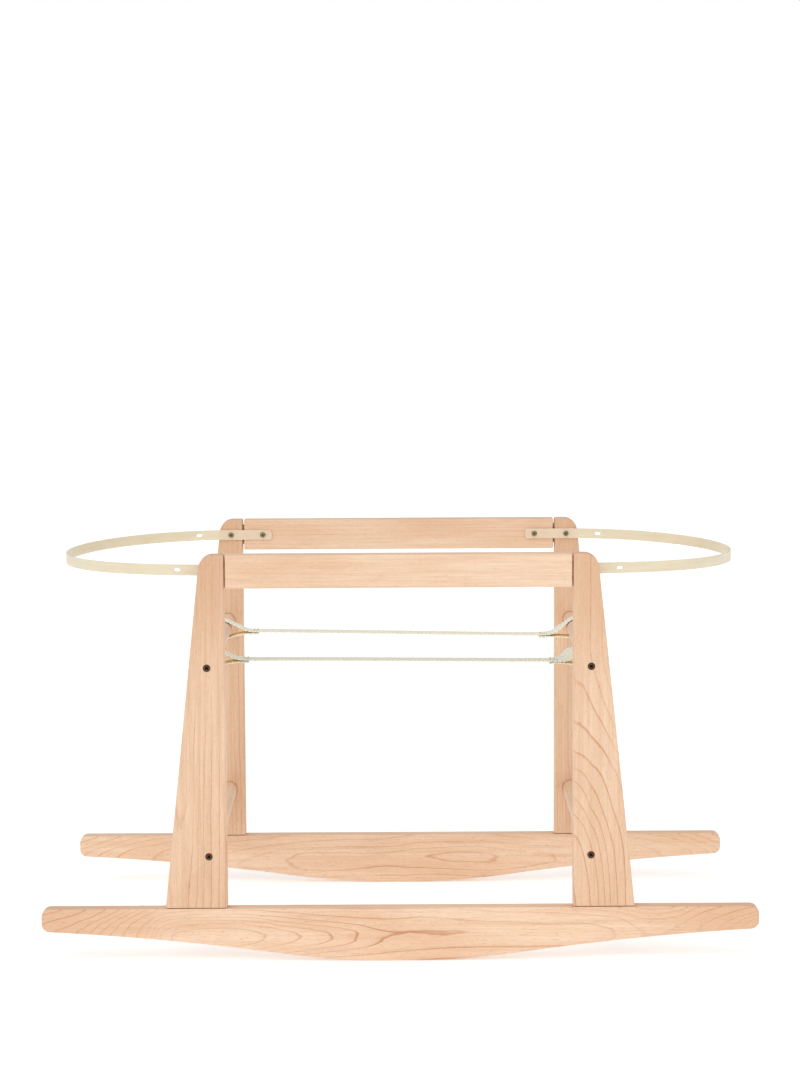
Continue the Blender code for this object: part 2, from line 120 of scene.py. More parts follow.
class TimberSettings(bpy.types.PropertyGroup):
    """Sizes of the boards and bars, and the colours of the beech."""

    edge: bpy.props.FloatProperty(
        name="Eased edge", description="Radius sanded on the boards' edges",
        default=0.0016, min=0.0002, unit="LENGTH",
    )
    leg_top: bpy.props.FloatProperty(
        name="Leg top", description="Width across the top of a leg, before its corner is rounded",
        default=0.0285, min=0.02, unit="LENGTH",
    )
    leg_corner: bpy.props.FloatProperty(
        name="Leg corner", description="Radius of a leg's outer top corner",
        default=0.017, min=0.001, unit="LENGTH",
    )
    foot_half: bpy.props.FloatProperty(
        name="Foot", description="Half the length of a rocker's flat middle",
        default=0.024, min=0.0, unit="LENGTH",
    )
    roll_radius: bpy.props.FloatProperty(
        name="Rolling radius", description="Radius on which the stand rocks",
        default=1.090, min=0.5, unit="LENGTH",
    )
    roll_reach: bpy.props.FloatProperty(
        name="Rolling reach", description="How far from the middle the rolling arc ends",
        default=0.150, min=0.05, unit="LENGTH",
    )
    sweep_radius: bpy.props.FloatProperty(
        name="Sweep radius", description="Radius of the counter-curve out to a tip",
        default=3.300, min=1.0, unit="LENGTH",
    )
    tip_radius: bpy.props.FloatProperty(
        name="Tip radius", description="Radius of a rocker tip's corners",
        default=0.0098, min=0.001, unit="LENGTH",
    )
    pale: bpy.props.FloatVectorProperty(
        name="Pale wood", description="Colour between the growth rings",
        default=(0.850, 0.625, 0.450), subtype="COLOR", min=0, max=1,
    )
    warm: bpy.props.FloatVectorProperty(
        name="Warm wood", description="Colour of the pinker patches",
        default=(0.720, 0.440, 0.262), subtype="COLOR", min=0, max=1,
    )
    ring: bpy.props.FloatVectorProperty(
        name="Ring lines", description="Colour of the late wood at a growth ring",
        default=(0.560, 0.250, 0.125), subtype="COLOR", min=0, max=1,
    )
    dowel: bpy.props.FloatVectorProperty(
        name="Bare beech", description="Colour of the dowel pins",
        default=(0.700, 0.500, 0.330), subtype="COLOR", min=0, max=1,
    )


class FittingSettings(bpy.types.PropertyGroup):
    """Sizes and colours of the bolts, screws and inserts."""

    bolt_head: bpy.props.FloatProperty(
        name="Bolt head", description="Radius of a bolt's countersunk head",
        default=0.00445, min=0.002, unit="LENGTH",
    )
    bolt_sunk: bpy.props.FloatProperty(
        name="Sunk", description="Depth of a bolt's head below the leg",
        default=0.0006, min=0.0, unit="LENGTH",
    )
    bolt_shank: bpy.props.FloatProperty(
        name="Bolt shank", description="Radius of a bolt's shank",
        default=0.0025, min=0.001, unit="LENGTH",
    )
    screw_head: bpy.props.FloatProperty(
        name="Screw head", description="Radius of a hoop screw's pan head",
        default=0.0034, min=0.001, unit="LENGTH",
    )
    screw_shank: bpy.props.FloatProperty(
        name="Screw shank", description="Radius of a hoop screw's shank",
        default=0.0017, min=0.0005, unit="LENGTH",
    )
    bronze: bpy.props.FloatVectorProperty(
        name="Bronze", description="Colour of the plating",
        default=(0.085, 0.042, 0.026), subtype="COLOR", min=0, max=1,
    )
    worn: bpy.props.FloatVectorProperty(
        name="Worn bronze", description="Colour where the plating has rubbed thin",
        default=(0.340, 0.205, 0.135), subtype="COLOR", min=0, max=1,
    )
    brass: bpy.props.FloatVectorProperty(
        name="Brass", description="Colour of the hoop screws",
        default=(0.200, 0.160, 0.070), subtype="COLOR", min=0, max=1,
    )
    zinc: bpy.props.FloatVectorProperty(
        name="Zinc", description="Colour of the inserts",
        default=(0.560, 0.550, 0.520), subtype="COLOR", min=0, max=1,
    )


class HoopSettings(bpy.types.PropertyGroup):
    """Size and colour of the nylon hoops."""

    thickness: bpy.props.FloatProperty(
        name="Thickness", description="Thickness of the nylon strip",
        default=0.002, min=0.0005, unit="LENGTH",
    )
    end_corner: bpy.props.FloatProperty(
        name="End corners", description="Radius of the corners at the strip's ends",
        default=0.004, min=0.0, unit="LENGTH",
    )
    nylon: bpy.props.FloatVectorProperty(
        name="Nylon", description="Colour of the translucent nylon",
        default=(0.840, 0.765, 0.600), subtype="COLOR", min=0, max=1,
    )
    nylon_deep: bpy.props.FloatVectorProperty(
        name="Deeper nylon", description="Colour of the strip's flow marks",
        default=(0.775, 0.678, 0.495), subtype="COLOR", min=0, max=1,
    )
    # Painted light: the timber's colour showing through the nylon, painted into the strip
    over_timber: bpy.props.FloatVectorProperty(
        name="Over timber", description="Colour of the strip where it lies on the timber",
        default=(0.900, 0.700, 0.520), subtype="COLOR", min=0, max=1,
    )


class StrapSettings(bpy.types.PropertyGroup):
    """Size, weave and colour of the webbing."""

    width: bpy.props.FloatProperty(
        name="Width", description="Width of the webbing",
        default=0.025, min=0.01, unit="LENGTH",
    )
    thickness: bpy.props.FloatProperty(
        name="Thickness", description="Thickness of the webbing at its ribs",
        default=0.0028, min=0.0005, unit="LENGTH",
    )
    rib: bpy.props.FloatProperty(
        name="Rib pitch", description="Distance from one cross rib to the next",
        default=0.0027, min=0.0005, unit="LENGTH",
    )
    fork: bpy.props.FloatProperty(
        name="Fork", description="Distance from the middle to where a strap divides",
        default=0.1955, min=0.1, unit="LENGTH",
    )
    tail: bpy.props.FloatProperty(
        name="Tail", description="Distance from the middle to a strap's sewn end",
        default=0.182, min=0.1, unit="LENGTH",
    )
    cotton: bpy.props.FloatVectorProperty(
        name="Cotton", description="Colour of the webbing",
        default=(0.885, 0.875, 0.750), subtype="COLOR", min=0, max=1,
    )
    hollow: bpy.props.FloatVectorProperty(
        name="Between ribs", description="Colour between the ribs",
        default=(0.690, 0.660, 0.470), subtype="COLOR", min=0, max=1,
    )
    # Painted light: a golden glow for the loops' inner faces, standing in for light shining through the
    # webbing
    painted_loop_glow: bpy.props.FloatVectorProperty(
        name="Painted loop glow", description="Colour of the webbing's inner face, round the bars",
        default=(1.0, 0.780, 0.280), subtype="COLOR", min=0, max=1,
    )


class StageSettings(bpy.types.PropertyGroup):
    """The camera and the lights."""

    lens: bpy.props.FloatProperty(
        name="Lens", description="Focal length in millimetres on a 36 mm sensor",
        default=94.73, min=20,
    )
    camera_place: bpy.props.FloatVectorProperty(
        name="Camera", description="Place of the camera",
        default=(0.002, -3.509, 0.8696), subtype="TRANSLATION", unit="LENGTH",
    )
    camera_dip: bpy.props.FloatProperty(
        name="Dip", description="How far the camera looks below level",
        default=math.radians(6.14), subtype="ANGLE",
    )
    camera_roll: bpy.props.FloatProperty(
        name="Roll", description="How far the camera leans",
        default=math.radians(-0.3), subtype="ANGLE",
    )
    floor: bpy.props.FloatVectorProperty(
        name="Floor", description="Colour of the floor",
        default=(0.93, 0.93, 0.93), subtype="COLOR", min=0, max=1,
    )


GROUPS = {
    "stand_timber": TimberSettings,
    "stand_fittings": FittingSettings,
    "stand_hoops": HoopSettings,
    "stand_straps": StrapSettings,
    "stand_stage": StageSettings,
}


# ---------------------------------------------------------------- modelling helpers


def lerp(first, second, share):
    return first + (second - first) * share


def deselect_all():
    bpy.ops.object.select_all(action="DESELECT")


def only(piece):
    """Makes a piece the only one selected, and the active one."""
    deselect_all()
    piece.select_set(True)
    bpy.context.view_layer.objects.active = piece


def named(name):
    """Names the piece just added, and its mesh."""
    piece = bpy.context.object
    piece.name = name
    piece.data.name = name
    return piece


def new_block(name, low, high):
    """A cube, stretched between two corners."""
    deselect_all()
    low, high = Vector(low), Vector(high)
    bpy.ops.mesh.primitive_cube_add(size=1, location=(low + high) / 2, scale=high - low)
    bpy.ops.object.transform_apply(location=True, rotation=True, scale=True)
    return named(name)


def editing(piece, select="NONE", mode="VERT"):
    """Enters edit mode with all or nothing selected."""
    only(piece)
    bpy.ops.object.mode_set(mode="EDIT")
    bpy.ops.mesh.select_mode(type=mode)
    bpy.ops.mesh.select_all(action="SELECT" if select == "ALL" else "DESELECT")


def done():
    bpy.ops.object.mode_set(mode="OBJECT")


SELECT_MODES = {"verts": "VERT", "edges": "EDGE", "faces": "FACE"}


def pick(piece, test, kind="verts"):
    """Selects the points, edges or faces whose middle passes the test, and no others."""
    bpy.ops.mesh.select_mode(type=SELECT_MODES[kind])
    bpy.ops.mesh.select_all(action="DESELECT")
    shape = bmesh.from_edit_mesh(piece.data)
    for item in getattr(shape, kind):
        if kind == "verts":
            middle = item.co
        else:
            middle = sum((vert.co for vert in item.verts), Vector()) / len(item.verts)
        if test(middle, item):
            item.select_set(True)
    shape.select_flush_mode()
    bmesh.update_edit_mesh(piece.data)


def ease_edges(piece, radius, segments=3):
    """Rounds every sharp edge of a board."""
    editing(piece, mode="EDGE")
    bpy.ops.mesh.edges_select_sharp(sharpness=math.radians(25))
    bpy.ops.mesh.bevel(offset=radius, segments=segments, affect="EDGES", profile=0.5)
    done()


def outwards(piece):
    """Points every face of a piece outwards."""
    editing(piece, "ALL")
    bpy.ops.mesh.remove_doubles(threshold=1e-6)
    bpy.ops.mesh.normals_make_consistent(inside=False)
    done()


def facing(direction):
    """The turn that points +Z along a direction."""
    return Vector(direction).to_track_quat("Z", "Y").to_matrix().to_4x4()


def turned(name, profile, sides, place, direction):
    """A solid turned on its axis, from (radius, height) points, and set along a direction.

    It starts as a disc, which is extruded and resized from each point to the next.
    """
    deselect_all()
    radius, height = profile[0]
    bpy.ops.mesh.primitive_circle_add(
        vertices=sides, radius=radius, fill_type="NGON", location=(0, 0, height)
    )
    bpy.ops.object.transform_apply(location=True, rotation=True, scale=True)
    piece = named(name)
    editing(piece, "ALL", "FACE")
    for (old_radius, old_height), (radius, height) in zip(profile, profile[1:]):
        rise = {"value": (0, 0, height - old_height)}
        bpy.ops.mesh.extrude_region_move(TRANSFORM_OT_translate=rise)
        if radius != old_radius:
            grow = radius / old_radius
            bpy.ops.transform.resize(value=(grow, grow, 1), center_override=(0, 0, height))
    done()
    outwards(piece)
    piece.data.transform(Matrix.Translation(place) @ facing(direction))
    return piece


def joined(pieces, name):
    """Joins pieces into one."""
    deselect_all()
    for piece in pieces:
        piece.select_set(True)
    bpy.context.view_layer.objects.active = pieces[0]
    bpy.ops.object.join()
    return named(name)


def cut(piece, cutters):
    """Cuts the cutters out of a piece, and removes them."""
    cutter = joined(cutters, piece.name + "_cutter")
    only(piece)
    modifier = piece.modifiers.new("Holes", "BOOLEAN")
    modifier.operation = "DIFFERENCE"
    modifier.solver = "EXACT"
    modifier.use_self = True
    modifier.object = cutter
    bpy.ops.object.modifier_apply(modifier=modifier.name)
    bpy.data.objects.remove(cutter, do_unlink=True)


def smooth(piece, angle=35):
    """Shades round faces smooth and keeps the flat ones flat."""
    only(piece)
    bpy.ops.object.shade_smooth_by_angle(angle=math.radians(angle))
    modifier = piece.modifiers.new("Flat faces", "WEIGHTED_NORMAL")
    modifier.keep_sharp = True
    bpy.ops.object.modifier_apply(modifier=modifier.name)


def copied(piece, name, matrix):
    """A copy with its own mesh, moved or mirrored by a matrix."""
    twin = bpy.data.objects.new(name, piece.data.copy())
    twin.data.name = name
    bpy.context.scene.collection.objects.link(twin)
    twin.data.transform(matrix)
    if matrix.determinant() < 0:
        twin.data.flip_normals()
    return twin


def dress(piece, material):
    """Gives a piece its one material."""
    piece.data.materials.clear()
    piece.data.materials.append(material)


def finish_piece(piece, material, slot, body, *nodes):
    """Gives a piece its material, and lets it ride in place of its plain nodes."""
    dress(piece, material)
    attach(piece, body)
    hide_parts(*nodes)


def mirror_to(end, side):
    """A mirroring matrix, to the left for an end of -1 and to the back for a side of 1."""
    return Matrix.Diagonal((end, -side, 1, 1))


# ---------------------------------------------------------------- material helpers


class NodeSheet:
    """A node tree, with short calls to add and join its nodes."""

    def __init__(self, tree):
        self.tree = tree
        self.column = 0

    def add(self, kind, **settings):
        node = self.tree.nodes.new(kind)
        node.location = (self.column * 190, 0)
        self.column += 1
        for key, value in settings.items():
            setattr(node, key, value)
        return node

    def put(self, socket, value):
        """Links a socket to another node's output, or else sets its value."""
        if isinstance(value, bpy.types.NodeSocket):
            self.tree.links.new(value, socket)
        else:
            socket.default_value = value

    def feed(self, node, **inputs):
        """Sets or links inputs by name, with _ for a space."""
        for key, value in inputs.items():
            self.put(node.inputs[key.replace("_", " ")], value)
        return node

    def math(self, operation, first, second=0.0, third=0.0):
        node = self.add("ShaderNodeMath", operation=operation)
        for socket, value in zip(node.inputs, (first, second, third)):
            self.put(socket, value)
        return node.outputs[0]

    def mix(self, factor, first, second):
        """A colour mix."""
        node = self.add("ShaderNodeMix", data_type="RGBA")
        for index, value in ((0, factor), (6, first), (7, second)):
            self.put(node.inputs[index], value)
        return node.outputs[2]

    def noise(self, vector, scale, detail=2.0, roughness=0.5):
        node = self.add("ShaderNodeTexNoise")
        self.feed(node, Vector=vector, Scale=scale, Detail=detail, Roughness=roughness)
        return node.outputs["Fac"]

    def remap(self, value, low, high, new_low=0.0, new_high=1.0, smooth_step=False):
        node = self.add("ShaderNodeMapRange")
        if smooth_step:
            node.interpolation_type = "SMOOTHSTEP"
        keys = ("Value", "From Min", "From Max", "To Min", "To Max")
        for key, item in zip(keys, (value, low, high, new_low, new_high)):
            self.put(node.inputs[key], item)
        return node.outputs[0]

    def scaled(self, vector, scale):
        node = self.add("ShaderNodeMapping", vector_type="POINT")
        self.feed(node, Vector=vector, Scale=scale)
        return node.outputs[0]

    def place(self):
        """Where a point lies on the finished stand."""
        return self.add("ShaderNodeTexCoord").outputs["Object"]

    def parts(self, vector):
        """A vector's X, Y and Z."""
        node = self.add("ShaderNodeSeparateXYZ")
        self.feed(node, Vector=vector)
        return node.outputs

    def bump(self, height, strength, distance):
        """The normal of a surface with this relief."""
        node = self.add("ShaderNodeBump")
        self.feed(node, Height=height, Strength=strength, Distance=distance)
        return node.outputs[0]

    def group(self, name, build):
        """A node of a shared group."""
        return self.add("ShaderNodeGroup", node_tree=group_for(name, build))


SOCKETS = {"value": "NodeSocketFloat", "colour": "NodeSocketColor", "vector": "NodeSocketVector"}


def new_group(name, inputs, outputs):
    """A node group with named sockets, given as (name, kind, default)."""
    tree = bpy.data.node_groups.new(name, "ShaderNodeTree")
    for label, kind, default in inputs:
        socket = tree.interface.new_socket(name=label, in_out="INPUT", socket_type=SOCKETS[kind])
        if default is not None:
            socket.default_value = default
    for label, kind in outputs:
        tree.interface.new_socket(name=label, in_out="OUTPUT", socket_type=SOCKETS[kind])
    sheet = NodeSheet(tree)
    return sheet, sheet.add("NodeGroupInput").outputs, sheet.add("NodeGroupOutput")


def group_for(name, build):
    """The node group of this name, built the first time that it's asked for."""
    tree = bpy.data.node_groups.get(name)
    if tree is None:
        build(name)
        tree = bpy.data.node_groups[name]
    return tree


def new_material(name, **constants):
    """A material, with constant values on its shader's own sockets."""
    material = bpy.data.materials.new(name)
    material.use_nodes = True
    tree = material.node_tree
    shader = tree.nodes["Principled BSDF"]
    for key, value in constants.items():
        shader.inputs[key.replace("_", " ")].default_value = value
    return material, NodeSheet(tree), shader


def with_alpha(colour):
    return (*colour, 1.0)


def dimmed(colour, share):
    """A colour made darker, as a socket takes it."""
    return with_alpha([value * share for value in colour])


def between(first, second, share):
    """A colour on the way from one to another, as a socket takes it."""
    return with_alpha([lerp(old, new, share) for old, new in zip(first, second)])


def build_grain(name):
    """Beech cut from a log: growth rings about the pith, patches, pores and ray flecks.

    The board's own coordinates come in as metres, with X across the board's face, Y
    through its thickness and Z along its grain, measured from the pith.
    """
    inputs = (
        ("Wood", "vector", None),
        ("Ring gap", "value", 0.006),
        ("Ring strength", "value", 0.5),
        ("Waver", "value", 0.01),
        ("Pith depth", "value", 0.0),
        ("Pale", "colour", (0.8, 0.6, 0.4, 1)),
        ("Warm", "colour", (0.8, 0.5, 0.3, 1)),
        ("Ring", "colour", (0.5, 0.3, 0.2, 1)),
        ("Warm ends", "value", 1.0),
    )
    outputs = (("Colour", "colour"), ("Roughness", "value"), ("Height", "value"))
    sheet, given, result = new_group(name, inputs, outputs)
    wood = given["Wood"]

    # The log leans and swells slowly along its length
    long_waver = sheet.noise(sheet.scaled(wood, (9, 9, 3.2)), 1.0, 2.0, 0.45)
    fine_waver = sheet.noise(sheet.scaled(wood, (60, 60, 9)), 1.0, 3.0, 0.5)
    apart = sheet.parts(wood)
    behind = sheet.math("SUBTRACT", apart["Y"], given["Pith depth"])
    squared = sheet.math("MULTIPLY", apart["X"], apart["X"])
    from_pith = sheet.math("SQRT", sheet.math("MULTIPLY_ADD", behind, behind, squared))
    swell = sheet.math("MULTIPLY", sheet.math("SUBTRACT", long_waver, 0.5), given["Waver"])
    ripple = sheet.math("MULTIPLY", sheet.math("SUBTRACT", fine_waver, 0.5), 0.0040)
    depth = sheet.math("ADD", sheet.math("ADD", from_pith, swell), ripple)
    count = sheet.math("DIVIDE", depth, given["Ring gap"])

    # Years differ in width, and each ends in a thin dark line after a slow darkening
    years = sheet.math("ADD", count, sheet.math("MULTIPLY", sheet.math("SINE", count), 0.35))
    year = sheet.math("FRACT", years)
    darkening = sheet.math("POWER", year, 4.0)
    line = sheet.remap(year, 0.84, 0.94, smooth_step=True)
    fade = sheet.remap(year, 0.955, 1.0, 1.0, 0.0, smooth_step=True)
    edge = sheet.math("MULTIPLY", line, fade)
    faint = sheet.remap(sheet.noise(sheet.scaled(wood, (22, 22, 4)), 1.0, 1.0), 0.35, 0.65, 0.25, 1.0)
    ring = sheet.math("MULTIPLY", sheet.math("MULTIPLY_ADD", darkening, 0.30, edge), faint)
    ring = sheet.math("MULTIPLY", ring, given["Ring strength"])

    # Slow patches of pink, fine fibres, and short dark pores and rays
    patch = sheet.noise(sheet.scaled(wood, (26, 26, 5)), 1.0, 3.0, 0.55)
    fibre = sheet.noise(sheet.scaled(wood, (850, 850, 60)), 1.0, 2.0, 0.6)
    streak = sheet.noise(sheet.scaled(wood, (300, 300, 7)), 1.0, 3.0, 0.6)
    fleck = sheet.noise(sheet.scaled(wood, (900, 900, 170)), 1.0, 1.0, 0.5)
    pore = sheet.remap(fleck, 0.60, 0.72, smooth_step=True)

    colour = sheet.mix(sheet.remap(patch, 0.40, 0.70, 0.0, 0.75), given["Pale"], given["Warm"])
    colour = sheet.mix(sheet.remap(streak, 0.42, 0.68, 0.0, 0.60), colour, given["Warm"])
    # Painted shade: beyond the given distance along the grain the wood darkens to the warm colour, where
    # the light falls off towards the rockers' tips and the legs' tops
    far_out = sheet.math("SUBTRACT", sheet.math("ABSOLUTE", apart["Z"]), given["Warm ends"])
    colour = sheet.mix(sheet.remap(far_out, 0.0, 0.12, 0.0, 0.85), colour, given["Warm"])
    colour = sheet.mix(ring, colour, given["Ring"])
    colour = sheet.mix(sheet.math("MULTIPLY", pore, 0.34), colour, given["Ring"])
    shade = sheet.remap(fibre, 0.25, 0.75, 0.91, 1.05)
    bright = sheet.add("ShaderNodeHueSaturation")
    sheet.feed(bright, Color=colour, Value=shade)
    sheet.feed(result, Colour=bright.outputs[0])
    rough = sheet.remap(fibre, 0.2, 0.8, 0.46, 0.58)
    sheet.feed(result, Roughness=sheet.math("MULTIPLY_ADD", ring, 0.08, rough))
    raised = sheet.math("MULTIPLY_ADD", pore, -0.8, sheet.math("MULTIPLY", fibre, 0.35))
    sheet.feed(result, Height=sheet.math("MULTIPLY_ADD", ring, -0.3, raised))


def build_edge_wear(name):
    """A mask that is 1 on rubbed outer edges and 0 on faces and in hollows."""
    inputs = (("Break up", "value", 900.0),)
    sheet, given, result = new_group(name, inputs, (("Mask", "value"),))
    geometry = sheet.add("ShaderNodeNewGeometry")
    place = sheet.place()
    proud = sheet.remap(geometry.outputs["Pointiness"], 0.505, 0.56)
    rough = sheet.remap(sheet.noise(place, given["Break up"], 3.0, 0.6), 0.3, 0.7)
    sheet.feed(result, Mask=sheet.math("MULTIPLY", proud, rough))


def shape_curve(node, points):
    """Give a curve node these points, from left to right."""
    curve = node.mapping.curves[0]
    curve.points[0].location = points[0]
    curve.points[1].location = points[-1]
    for x, y in points[1:-1]:
        curve.points.new(x, y)
    node.mapping.update()


# How far from a board's middle, and how deep, the bends of its log may lie
BEND_SPAN = 0.5
BEND_DEPTH = 0.1


def timber(name, pith, along, ring_gap, strength, waver, tint=0.0, bends=(), painted_end_shade=1.0):
    """Lacquered beech for one board.

    Pith is the log's centre line, as a point, and along is the grain's direction: "X" for
    a board that runs along the stand, "Y" for one across it and "Z" for an upright one.
    Bends are places along the grain, each with how much further back the pith lies there.
    The wood turns warmer and darker beyond the last argument's distance from the middle along the grain:
    painted shade, where the light falls off towards the ends.
    """
    settings = bpy.context.scene.stand_timber
    material, sheet, shader = new_material(
        name, Coat_Weight=0.12, Coat_Roughness=0.32, Specular_IOR_Level=0.42
    )
    place = sheet.place()
    centred = sheet.add("ShaderNodeMapping", vector_type="POINT")
    sheet.feed(centred, Vector=place, Location=tuple(-value for value in pith))
    turns = {"X": (0, math.radians(-90), 0), "Y": (math.radians(90), 0, 0), "Z": (0, 0, 0)}
    wood = sheet.add("ShaderNodeMapping", vector_type="POINT")
    sheet.feed(wood, Vector=centred.outputs[0], Rotation=turns[along])
    grain = sheet.group("Timber grain", build_grain)
    pale = between(settings.pale, settings.warm, tint)
    warm = dimmed(settings.warm, 1 - 0.2 * tint)
    sheet.feed(grain, Pale=pale, Warm=warm, Ring=with_alpha(settings.ring), Warm_ends=painted_end_shade)
    sheet.feed(grain, Wood=wood.outputs[0], Ring_gap=ring_gap, Ring_strength=strength, Waver=waver)
    if bends:
        apart = sheet.parts(wood.outputs[0])
        bend = sheet.add("ShaderNodeFloatCurve")
        sheet.feed(bend, Value=sheet.remap(apart["Z"], -BEND_SPAN, BEND_SPAN))
        points = [((spot / BEND_SPAN + 1) / 2, depth / BEND_DEPTH) for spot, depth in bends]
        shape_curve(bend, points)
        sheet.feed(grain, Pith_depth=sheet.math("MULTIPLY", bend.outputs[0], BEND_DEPTH))
    wear = sheet.group("Rubbed edges", build_edge_wear)
    sheet.feed(wear, Break_up=700.0)
    edge_factor = sheet.math("MULTIPLY", wear.outputs["Mask"], 0.35)
    colour = sheet.mix(edge_factor, grain.outputs["Colour"], with_alpha(settings.pale))
    normal = sheet.bump(grain.outputs["Height"], 0.25, 0.00012)
    sheet.feed(shader, Base_Color=colour, Roughness=grain.outputs["Roughness"], Normal=normal)
    return material


def bronze_plating(name, recess, yellow=0.0):
    """Dark bronze plate, rubbed to a lighter brown on its rims, with fine scratches.

    Recess gives two distances across from the stand's middle: the plate darkens to black
    from the first to the second, a painted shade deep in the cross recess. Yellow turns the plate to brass.
    """
    settings = bpy.context.scene.stand_fittings
    material, sheet, shader = new_material(name, Metallic=0.85, Specular_IOR_Level=0.5)
    place = sheet.place()
    wear = sheet.group("Rubbed edges", build_edge_wear)
    sheet.feed(wear, Break_up=2600.0)
    mottle = sheet.remap(sheet.noise(place, 1400.0, 3.0, 0.6), 0.4, 0.75, 0.0, 0.35)
    factor = sheet.math("MAXIMUM", sheet.math("MULTIPLY", wear.outputs["Mask"], 0.8), mottle)
    rubbed_brass = [2.6 * value for value in settings.brass]
    dark = between(settings.bronze, settings.brass, yellow)
    light = between(settings.worn, rubbed_brass, yellow)
    colour = sheet.mix(factor, dark, light)
    apart = sheet.parts(place)
    inward = sheet.math("ABSOLUTE", apart["Y"])
    # Painted shade: the plating turns black deeper in the cross recess, from the first distance to the
    # second
    recess_shade = sheet.remap(inward, recess[0], recess[1])
    colour = sheet.mix(recess_shade, colour, (0.004, 0.002, 0.002, 1))
    scratches = sheet.noise(sheet.scaled(place, (9000, 700, 9000)), 1.0, 2.0, 0.6)
    normal = sheet.bump(scratches, 0.2, 0.00005)
    sheet.feed(shader, Base_Color=colour, Normal=normal)
    sheet.feed(shader, Roughness=sheet.remap(scratches, 0.3, 0.7, 0.30, 0.46))
    return material


def zinc_plating(name):
    """Bright zinc with a fine crystal mottle, for the hidden inserts."""
    settings = bpy.context.scene.stand_fittings
    material, sheet, shader = new_material(name, Metallic=1.0)
    place = sheet.place()
    mottle = sheet.noise(place, 1800.0, 4.0, 0.65)
    colour = sheet.mix(mottle, dimmed(settings.zinc, 0.72), with_alpha(settings.zinc))
    sheet.feed(shader, Base_Color=colour, Roughness=sheet.remap(mottle, 0.3, 0.7, 0.28, 0.45))
    return material


def ivory_nylon(name):
    """Translucent ivory nylon with faint flow marks, warmed where its ends lie on the timber: painted light
    of the timber showing through.
    """
    settings = bpy.context.scene.stand_hoops
    material, sheet, shader = new_material(
        name, Transmission_Weight=0.14, IOR=1.45, Subsurface_Weight=0.40,
        Subsurface_Radius=(0.9, 0.7, 0.4), Subsurface_Scale=0.004, Specular_IOR_Level=0.45,
    )
    place = sheet.place()
    flow = sheet.noise(sheet.scaled(place, (14, 14, 260)), 1.0, 3.0, 0.55)
    cloud = sheet.noise(place, 30.0, 2.0)
    blend = sheet.math("MULTIPLY", sheet.remap(flow, 0.3, 0.7), sheet.remap(cloud, 0.3, 0.7, 0.5, 1.0))
    colour = sheet.mix(blend, with_alpha(settings.nylon), with_alpha(settings.nylon_deep))
    apart = sheet.parts(place)
    # Painted light: on the straight ends, which lie on the timber, the nylon takes a warm colour as if the
    # timber showed through it
    from_middle = sheet.math("ABSOLUTE", apart["X"])
    on_timber = sheet.remap(from_middle, HOOP_BEND + 0.014, HOOP_BEND + 0.017, 1.0, 0.0)
    cloudy = sheet.math("MULTIPLY", on_timber, sheet.remap(cloud, 0.2, 0.8, 0.75, 1.0))
    colour = sheet.mix(cloudy, colour, with_alpha(settings.over_timber))
    grit = sheet.noise(place, 1600.0, 2.0, 0.6)
    normal = sheet.bump(sheet.math("MULTIPLY_ADD", flow, 0.6, grit), 0.12, 0.0001)
    sheet.feed(shader, Base_Color=colour, Normal=normal)
    sheet.feed(shader, Roughness=sheet.remap(grit, 0.3, 0.7, 0.32, 0.44))
    return material


def build_weave(name):
    """Yarns of a ribbed webbing, on a map whose U counts ribs and V crosses the band."""
    inputs = (("Map", "vector", None), ("Warp yarns", "value", 22.0))
    outputs = (("Yarn", "value"), ("Hollow", "value"), ("Pair", "value"), ("Fuzz", "value"))
    sheet, given, result = new_group(name, inputs, outputs)
    apart = sheet.parts(given["Map"])
    rib = sheet.math("MULTIPLY", apart["X"], 2 * math.pi)
    across = sheet.math("MULTIPLY", apart["Y"], given["Warp yarns"])
    odd = sheet.math("MULTIPLY", sheet.math("MODULO", sheet.math("FLOOR", across), 2.0), math.pi)
    yarn = sheet.math("ABSOLUTE", sheet.math("SINE", sheet.math("MULTIPLY", across, math.pi)))
    over = sheet.math("SINE", sheet.math("ADD", sheet.math("MULTIPLY", rib, 0.5), odd))
    cord = sheet.math("MULTIPLY_ADD", sheet.math("ABSOLUTE", over), 0.5, 0.5)
    sheet.feed(result, Yarn=sheet.math("MULTIPLY", yarn, cord))
    gap = sheet.math("COSINE", rib)
    sheet.feed(result, Hollow=sheet.remap(gap, 0.1, 1.0, smooth_step=True))
    half_way = sheet.math("SUBTRACT", apart["Y"], 0.5)
    selvage = sheet.remap(sheet.math("ABSOLUTE", half_way), 0.30, 0.46, smooth_step=True)
    pair = sheet.remap(sheet.math("COSINE", sheet.math("MULTIPLY", rib, 0.5)), 0.35, 0.95, smooth_step=True)
    sheet.feed(result, Pair=sheet.math("MULTIPLY", pair, selvage))
    fuzz_map = sheet.scaled(given["Map"], (9, 160, 1))
    sheet.feed(result, Fuzz=sheet.noise(fuzz_map, 1.0, 4.0, 0.7))


